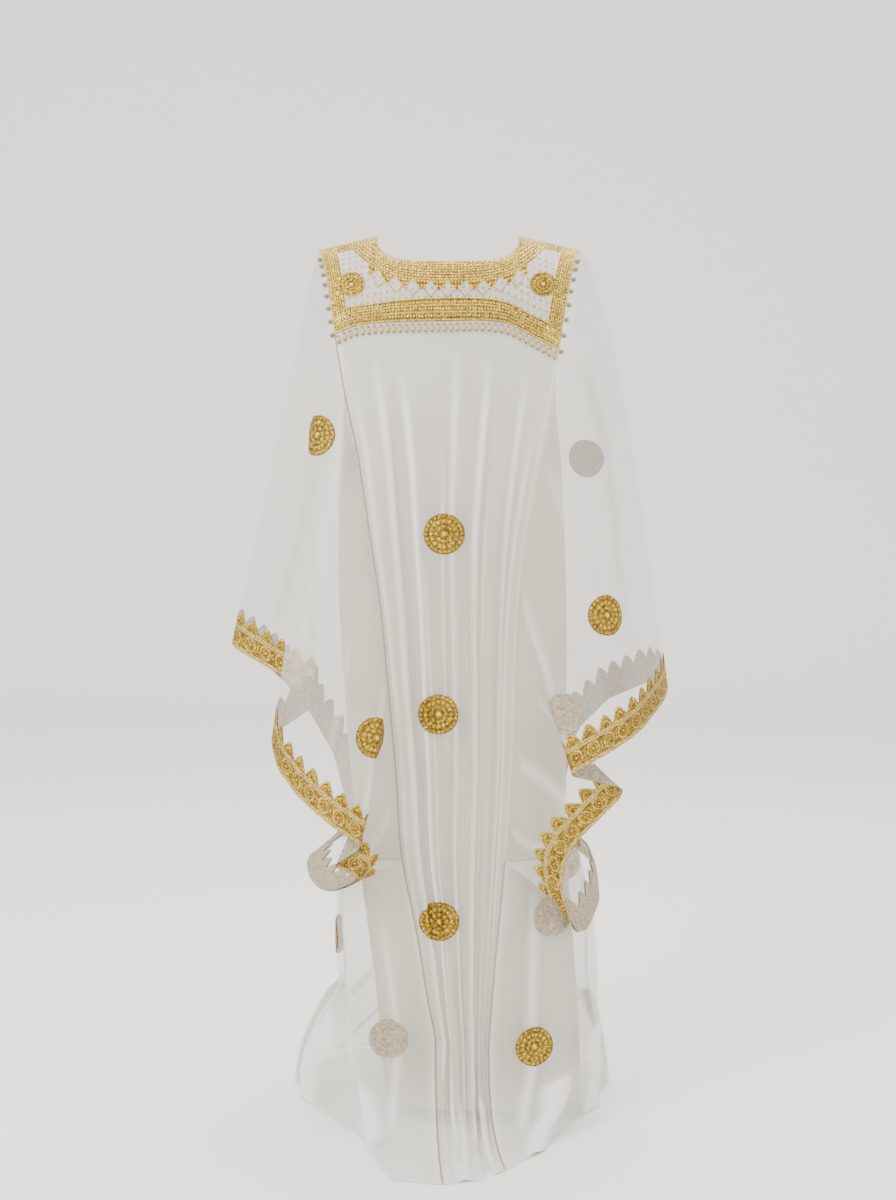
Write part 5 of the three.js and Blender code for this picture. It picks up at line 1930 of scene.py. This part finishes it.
@dataclass
class Yoke:
    """A yoke of backed net with raised metal-thread bands."""

    half: Half
    columns: int = 380
    rows: int = 120
    backing_columns: int = 80
    backing_rows: int = 30
    lift: float = 0.4
    relief: float = 1.3
    backing_depth: float = 0.8
    spots: tuple[float, float] = (-144.0, 142.0)
    spot_z: float = -74.0
    spot_slope: float = 1.12
    flat: tuple[float, float] = (0.4, 0.17)

    def build(self) -> None:
        """Make the yoke."""
        patch = yoke_patch(self.half)
        shares = np.linspace(NECK_SHARE, 1 - NECK_SHARE, 90)
        neckline = yoke_point(self.half, shares, np.zeros_like(shares))
        reach = np.linspace(0, 1, 30)[:, None]
        fan = np.linspace(0, 1, 60)[None, :]
        run = yoke_point(self.half, fan + 0 * reach, reach + 0 * fan)
        lengths = np.linalg.norm(np.diff(run, axis=0), axis=-1).sum(axis=0)

        def pattern(u: Array, v: Array) -> Pattern:
            point = yoke_point(self.half, u, v)
            neck = np.min(np.linalg.norm(point[:, None, :] - neckline[None, :, :], axis=-1), axis=1)
            fall = np.interp(u, fan[0], lengths)
            left, right = yoke_point(self.half, 0 * u, v), yoke_point(self.half, 0 * u + 1, v)
            side = np.minimum(np.linalg.norm(point - left, axis=-1), np.linalg.norm(point - right, axis=-1))
            centre = np.where(u < 0.5, self.spots[0], self.spots[1])
            dx, dz = point[:, 0] - centre, (point[:, 2] - self.spot_z) * self.spot_slope
            spot = np.stack([np.hypot(dx, dz), np.arctan2(dz, dx)])
            return yoke_pattern(neck, (1 - v) * fall, side, v * fall, point[:, 0], spot)

        def face(u: Array, v: Array) -> Array:
            return patch.at(u, v, self.lift + self.relief * pattern(u, v).height)

        def mark(which: str) -> Callable[[Array, Array], Array]:
            return lambda u, v: getattr(pattern(u, v), which)

        marks = {which: mark(which) for which in THREAD_MARKS}
        name = f"yoke_{self.half.value}"
        made = grid_mesh(name + "_cloth", self.columns, self.rows, face, marks)
        Piece(made, YOKE_THREADS, (name,)).settle()
        backing = grid_mesh(
            name + "_backing",
            self.backing_columns,
            self.backing_rows,
            lambda u, v: patch.at(u, v, -self.backing_depth),
        )
        Piece(backing, REVERSE).settle()


@dataclass
class YokeTrim:
    """Drops along a yoke's lower edge and bobbles down its sides."""

    half: Half
    drops: int = 36
    bobbles: int = 8
    drop_size: tuple[float, float, float] = (0.0036, 0.0018, 0.0062)
    drop_taper: float = 0.55
    bead_radius: float = 0.0021
    bobble_radius: float = 0.0036
    hung_between: tuple[float, float] = (0.004, 0.014)
    stand_off: float = 2.2
    cap_at: float = 0.6
    drop_at: float = 5.6
    tip_at: float = 10.8
    bobbles_start: float = 0.3
    bobble_aside: float = 4.5
    bobble_off: float = 2.0

    def drop(self) -> None:
        """Add one flat drop at the origin, hanging down."""
        bpy.ops.mesh.primitive_uv_sphere_add(segments=10, ring_count=7, radius=1.0)
        bpy.ops.transform.resize(value=self.drop_size)
        bpy.ops.object.transform_apply(location=False, rotation=False, scale=True)
        for vertex in bpy.context.object.data.vertices:
            slim = 1.0 - self.drop_taper * max(vertex.co.z / self.drop_size[2], 0.0)
            vertex.co.x *= slim
            vertex.co.y *= slim

    def bead(self) -> None:
        """Add one small bead at the origin."""
        bpy.ops.mesh.primitive_uv_sphere_add(segments=8, ring_count=6, radius=self.bead_radius)

    def bobble(self) -> None:
        """Add one bobble at the origin."""
        bpy.ops.mesh.primitive_uv_sphere_add(segments=10, ring_count=8, radius=self.bobble_radius)

    def build(self) -> None:
        """Make the drops, their beads and the bobbles."""
        name = self.half.value
        panel = body_patch(f"body_{name}")
        across = (np.arange(self.drops) + 0.5) / self.drops
        start, end = self.hung_between
        high = panel.at(across, np.full_like(across, start), self.stand_off)
        low = panel.at(across, np.full_like(across, end), self.stand_off)
        hang = unit(low - high)
        drops = scatter(f"drops_{name}", self.drop, high + hang * self.drop_at, hang)
        Piece(drops, CREAM_DROPS, (f"drop_fringe_{name}",)).settle()
        tips = scatter(f"drop_tips_{name}", self.bead, high + hang * self.tip_at, hang)
        Piece(tips, OLIVE_BEADS).settle()
        caps = scatter(f"drop_caps_{name}", self.bead, high + hang * self.cap_at, hang)
        Piece(caps, CORD).settle()
        down = np.linspace(self.bobbles_start, 1.0, self.bobbles)
        spots = []
        for edge in (0.0, 1.0):
            point = yoke_point(self.half, np.full_like(down, edge), down)
            inner = yoke_point(self.half, np.full_like(down, abs(edge - 0.03)), down)
            aside = unit(point - inner) * self.bobble_aside
            spots.append(point + aside + stack(0, self.half.sign * self.bobble_off, 0))
        spots = np.vstack(spots)
        bobbles = scatter(f"bobbles_{name}", self.bobble, spots, np.tile([0, 0, -1.0], (len(spots), 1)))
        Piece(bobbles, GREY_BEADS).settle()


@dataclass
class NeckCord:
    """Twisted gold cord round the neck opening."""

    columns: int = 420
    sides: int = 14
    radius: float = 2.2
    inset: float = 3.0
    strands: int = 2
    twists: int = 90
    valley: float = 0.82

    def build(self) -> None:
        """Make the cord."""
        shares = np.linspace(NECK_SHARE, 1 - NECK_SHARE, 200)
        back = yoke_point(Half.BACK, shares, np.zeros_like(shares))
        front = yoke_point(Half.FRONT, shares[::-1], np.zeros_like(shares))
        ring = np.vstack([back, front[1:-1]])
        inward = unit(stack(-ring[:, 0], -ring[:, 1], 0.0))
        ring = ring + inward * self.inset
        places = np.linspace(0, 1, len(ring), endpoint=False)

        def centre(u: Array) -> Array:
            return stack(*(np.interp(np.mod(u, 1), places, ring[:, axis], period=1) for axis in range(3)))

        def skin(u: Array, v: Array) -> Array:
            along = unit(centre(u + 2e-3) - centre(u - 2e-3))
            side = unit(np.cross([0, 0, 1.0], along))
            up = np.cross(along, side)
            turn = 2 * math.pi * v
            twist = np.abs(np.cos(self.strands / 2 * turn + math.pi * self.twists * u))
            thick = self.radius * mix(self.valley, 1.0, twist)
            return centre(u) + side * (np.cos(turn) * thick)[:, None] + up * (np.sin(turn) * thick)[:, None]

        made = grid_mesh("neck_cord", self.columns, self.sides, skin, merge=True)
        Piece(made, CORD, ("neck_binding",)).settle()


@dataclass
class Lining:
    """Two halves of plain lining, seen through the tulle."""

    columns: int = 110
    rows: int = 90
    flat: tuple[float, float] = (0.5, 1.15)

    def build(self) -> None:
        """Make both halves."""
        for half in Half:
            patch = lining_patch(half)
            name = f"lining_{half.value}"
            made = grid_mesh(name + "_cloth", self.columns, self.rows, patch.at)
            Piece(made, LINING_CLOTH, (name,)).settle()


ROUNDEL_NODES = sorted(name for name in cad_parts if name.startswith("roundel_"))
WORKED_INSIDE = {
    "roundel_sleeve_right_fold",
    "roundel_sleeve_right_under",
    "roundel_gore_left_low",
    "roundel_gore_right_high",
}


@dataclass
class Roundels:
    """Round patches, each worked on the outside of the cloth, with its reverse on the inside."""

    radial: int = 22
    angular: int = 96
    lift: float = 0.9
    relief: float = 1.2
    soft_edge: float = 0.06
    reverse_depth: float = 0.8

    def one(self, name: str, patch: Patch, vs: Array, face: float) -> None:
        """Make one roundel where its node is.

        Args:
            name: its node.
            patch: the cloth that it is sewn to.
            vs: places down the cloth to look for it at.
            face: 1 if its gold side is on the outside of the cloth, -1 on the inside.
        """
        low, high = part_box(name)
        middle = (np.array(low) + np.array(high)) / 2 / MM
        u, v = patch.nearest(middle, np.linspace(0, 1, 400), vs)

        def place(lift: Callable[[Array, Array], Array]) -> Callable[[Array, Array], Array]:
            def points(a: Array, r: Array) -> Array:
                us, down = patch.disc(u, v, ROUNDEL_RADIUS, a * 2 * math.pi, r)
                return patch.at(us, down, lift(a, r))

            return points

        def worked(a: Array, r: Array) -> tuple[Array, Array]:
            return rosette(r * ROUNDEL_RADIUS, a * 2 * math.pi, ROUNDEL_RADIUS)

        def fall(r: Array) -> Array:
            return smoothstep((1 - r) / self.soft_edge)

        marks = {
            "gold": lambda a, r: np.ones_like(a),
            "cream": lambda a, r: np.zeros_like(a),
            # Painted shade and highlight of the rosette's relief.
            "tone": lambda a, r: worked(a, r)[1],
        }
        front = grid_mesh(
            name + "_face",
            self.angular,
            self.radial,
            place(lambda a, r: face * (self.lift + self.relief * worked(a, r)[0] * fall(r))),
            marks,
            merge=True,
        )
        Piece(front, ROUNDEL_THREADS, (name,)).settle()
        back = grid_mesh(
            name + "_reverse",
            self.angular // 2,
            self.radial // 2,
            place(lambda a, r: np.full_like(a, -face * self.reverse_depth)),
            merge=True,
        )
        Piece(back, REVERSE).settle()

    def build(self) -> None:
        """Make every roundel that the frame has."""
        sleeves = {side: sleeve_patch(side)[0] for side in Side}
        falls = {"body": np.linspace(0, 2, 400), "gore": np.linspace(SLEEVE_SEAM_SHARE, 2, 300)}
        outs = np.linspace(0, 1, 300)
        for name in ROUNDEL_NODES:
            _, place, which = name.split("_")[:3]
            inside = name in WORKED_INSIDE
            if place == "back":
                self.one(name, body_patch("body_back"), falls["body"], 1.0)
            elif place == "gore":
                self.one(name, body_patch(f"side_{which}"), falls["gore"], -1.0 if inside else 1.0)
            else:
                self.one(name, sleeves[Side(which)], outs, -1.0 if inside else 1.0)


@dataclass
class SeamStitches:
    """A fine zigzag of thread along the long seams and under the sleeves."""

    pitch: float = 4.2
    swing: float = 1.2
    width: float = 0.85
    lift: float = 1.2
    long_seam: float = 1450.0
    long_seam_end: float = 1.995
    level_seam: float = 130.0
    level_lift: float = 1.4
    level_rise: float = 1.0

    def ribbon(self, name: str, line: Callable[[Array, Array], Array], length: float) -> None:
        """Make one line of stitches.

        Args:
            name: its name.
            line: gives points for places 0 to 1 along and for distances aside.
            length: length of the line.
        """
        count = int(length / self.pitch) * 2

        def skin(u: Array, v: Array) -> Array:
            index = np.round(u * count)
            swing = np.where(np.mod(index, 2) > 0.5, self.swing, -self.swing)
            return line(u, swing + (v - 0.5) * 2 * self.width)

        Piece(grid_mesh(name, count, 1, skin), STITCHES).settle()

    def down_a_panel(self, name: str, edge: float) -> Callable[[Array, Array], Array]:
        """A line down one long seam.

        Args:
            name: the panel's node.
            edge: 0 or 1, its side edge.

        Returns:
            Gives points for places 0 to 1 along and for distances aside.
        """
        patch = body_patch(name)

        def line(u: Array, aside: Array) -> Array:
            down, across = u * self.long_seam_end, np.full_like(u, edge)
            point, sideways, _, normal = patch.frame_at(across, down)
            return point + unit(sideways) * aside[:, None] + normal * self.lift

        return line

    def under_a_sleeve(self, side: Side, low: float, high: float) -> Callable[[Array, Array], Array]:
        """A line along the level seam under one sleeve.

        Args:
            side: which sleeve.
            low: share of the armhole where the line starts.
            high: share of the armhole where it ends.

        Returns:
            Gives points for places 0 to 1 along and for distances aside.
        """
        surface = SleeveSurface(side)
        start, end = surface.around_at(low), surface.around_at(high)

        def line(u: Array, aside: Array) -> Array:
            around = mix(start, end, u)
            point = surface.armhole(surface.share_at(np.mod(around, 1)))
            rise = stack(0 * aside, 0 * aside, aside + self.level_rise)
            return point + surface.outward(point) * self.level_lift + rise

        return line

    def build(self) -> None:
        """Make all the lines."""
        for half, near, far in (("back", "left", "right"), ("front", "right", "left")):
            for edge, side in enumerate((near, far)):
                line = self.down_a_panel(f"body_{half}", float(edge))
                self.ribbon(f"stitches_{half}_{side}", line, self.long_seam)
        for side in Side:
            for half, low, high in (("back", 0.0, 0.069), ("front", 0.931, 0.9999)):
                line = self.under_a_sleeve(side, low, high)
                self.ribbon(f"stitches_{side.value}_{half}", line, self.level_seam)


# ---------------------------------------------------------------- stage, light and camera


@dataclass
class Stage:
    """Plain pale floor that runs up into a plain backdrop."""

    half_width: float = 4200.0
    front: float = -4200.0
    bend_at: float = 4000.0
    bend: float = 900.0
    height: float = 3200.0
    color: tuple[float, float, float] = (0.87, 0.852, 0.805)

    def build(self) -> None:
        """Make the floor and backdrop in one sweep."""
        quarter = self.bend * math.pi / 2
        floor_length = self.bend_at - self.front
        total = floor_length + quarter + self.height

        def sweep(u: Array, v: Array) -> Array:
            travel = v * total
            turn = np.clip((travel - floor_length) / self.bend, 0, math.pi / 2)
            rise = np.maximum(travel - floor_length - quarter, 0)
            y = self.front + np.minimum(travel, floor_length) + self.bend * np.sin(turn)
            z = FLOOR_Z + self.bend * (1 - np.cos(turn)) + rise
            return stack(mix(-self.half_width, self.half_width, u), y, z)

        made = grid_mesh("floor_and_backdrop", 4, 160, sweep)
        shader = Shader("pale_stage")
        shader.set("Base Color", (*self.color, 1.0))
        shader.set("Roughness", 0.9)
        made.data.materials.append(shader.material)


@dataclass(frozen=True)
class SoftLight:
    """A large area light that looks at the dress."""

    name: str
    place: tuple[float, float, float]
    size: float
    power: float
    color: tuple[float, float, float] = (1.0, 0.985, 0.96)
    aim: tuple[float, float, float] = (0.0, 0.0, -0.7)

    def build(self) -> None:
        """Make the light."""
        data = bpy.data.lights.new(self.name, "AREA")
        data.shape = "SQUARE"
        data.size = self.size
        data.energy = self.power
        data.color = self.color
        made = bpy.data.objects.new(self.name, data)
        made.location = self.place
        look = Vector(self.aim) - Vector(self.place)
        made.rotation_euler = look.to_track_quat("-Z", "Y").to_euler()
        bpy.context.scene.collection.objects.link(made)


LIGHTS = (
    SoftLight("key", (-2.6, -2.6, 1.9), 1.8, 175.0),
    SoftLight("fill", (2.6, -2.4, 0.6), 2.6, 40.0),
    SoftLight("top", (0.3, 0.6, 1.9), 2.2, 90.0),
)


@dataclass(frozen=True)
class ViewCamera:
    """Camera behind the dress, a little above its middle, tilted down."""

    distance: float = 3.2
    height: float = -0.22
    tilt: float = 6.0
    lens: float = 62.0
    long_side: float = 36.0

    def build(self) -> None:
        """Make the camera and use it."""
        data = bpy.data.cameras.new("view")
        data.lens = self.lens
        data.sensor_fit = "VERTICAL"
        data.sensor_height = self.long_side
        data.clip_end = 30.0
        made = bpy.data.objects.new("view", data)
        made.location = (0.0, -self.distance, self.height)
        made.rotation_euler = (math.radians(90 - self.tilt), 0.0, 0.0)
        bpy.context.scene.collection.objects.link(made)
        bpy.context.scene.camera = made


def light_the_room(strength: float = 1.65) -> None:
    """Pale light from all round, and enough bounces to see through many layers.

    Args:
        strength: how bright the room is.
    """
    scene = bpy.context.scene
    world = bpy.data.worlds.new("studio")
    world.use_nodes = True
    background = world.node_tree.nodes["Background"]
    background.inputs["Color"].default_value = (1.0, 0.99, 0.97, 1.0)
    background.inputs["Strength"].default_value = strength
    scene.world = world
    scene.cycles.transparent_max_bounces = 40
    for light in LIGHTS:
        light.build()


def main() -> None:
    """Build every piece, the stage and the view."""
    logging.basicConfig(level=logging.INFO)
    LongPanels().build()
    for side in Side:
        Sleeve(side).build()
    Lining().build()
    for half in Half:
        Yoke(half).build()
        YokeTrim(half).build()
    NeckCord().build()
    Roundels().build()
    SeamStitches().build()
    Stage().build()
    light_the_room()
    ViewCamera().build()


if __name__ == "__main__":
    main()
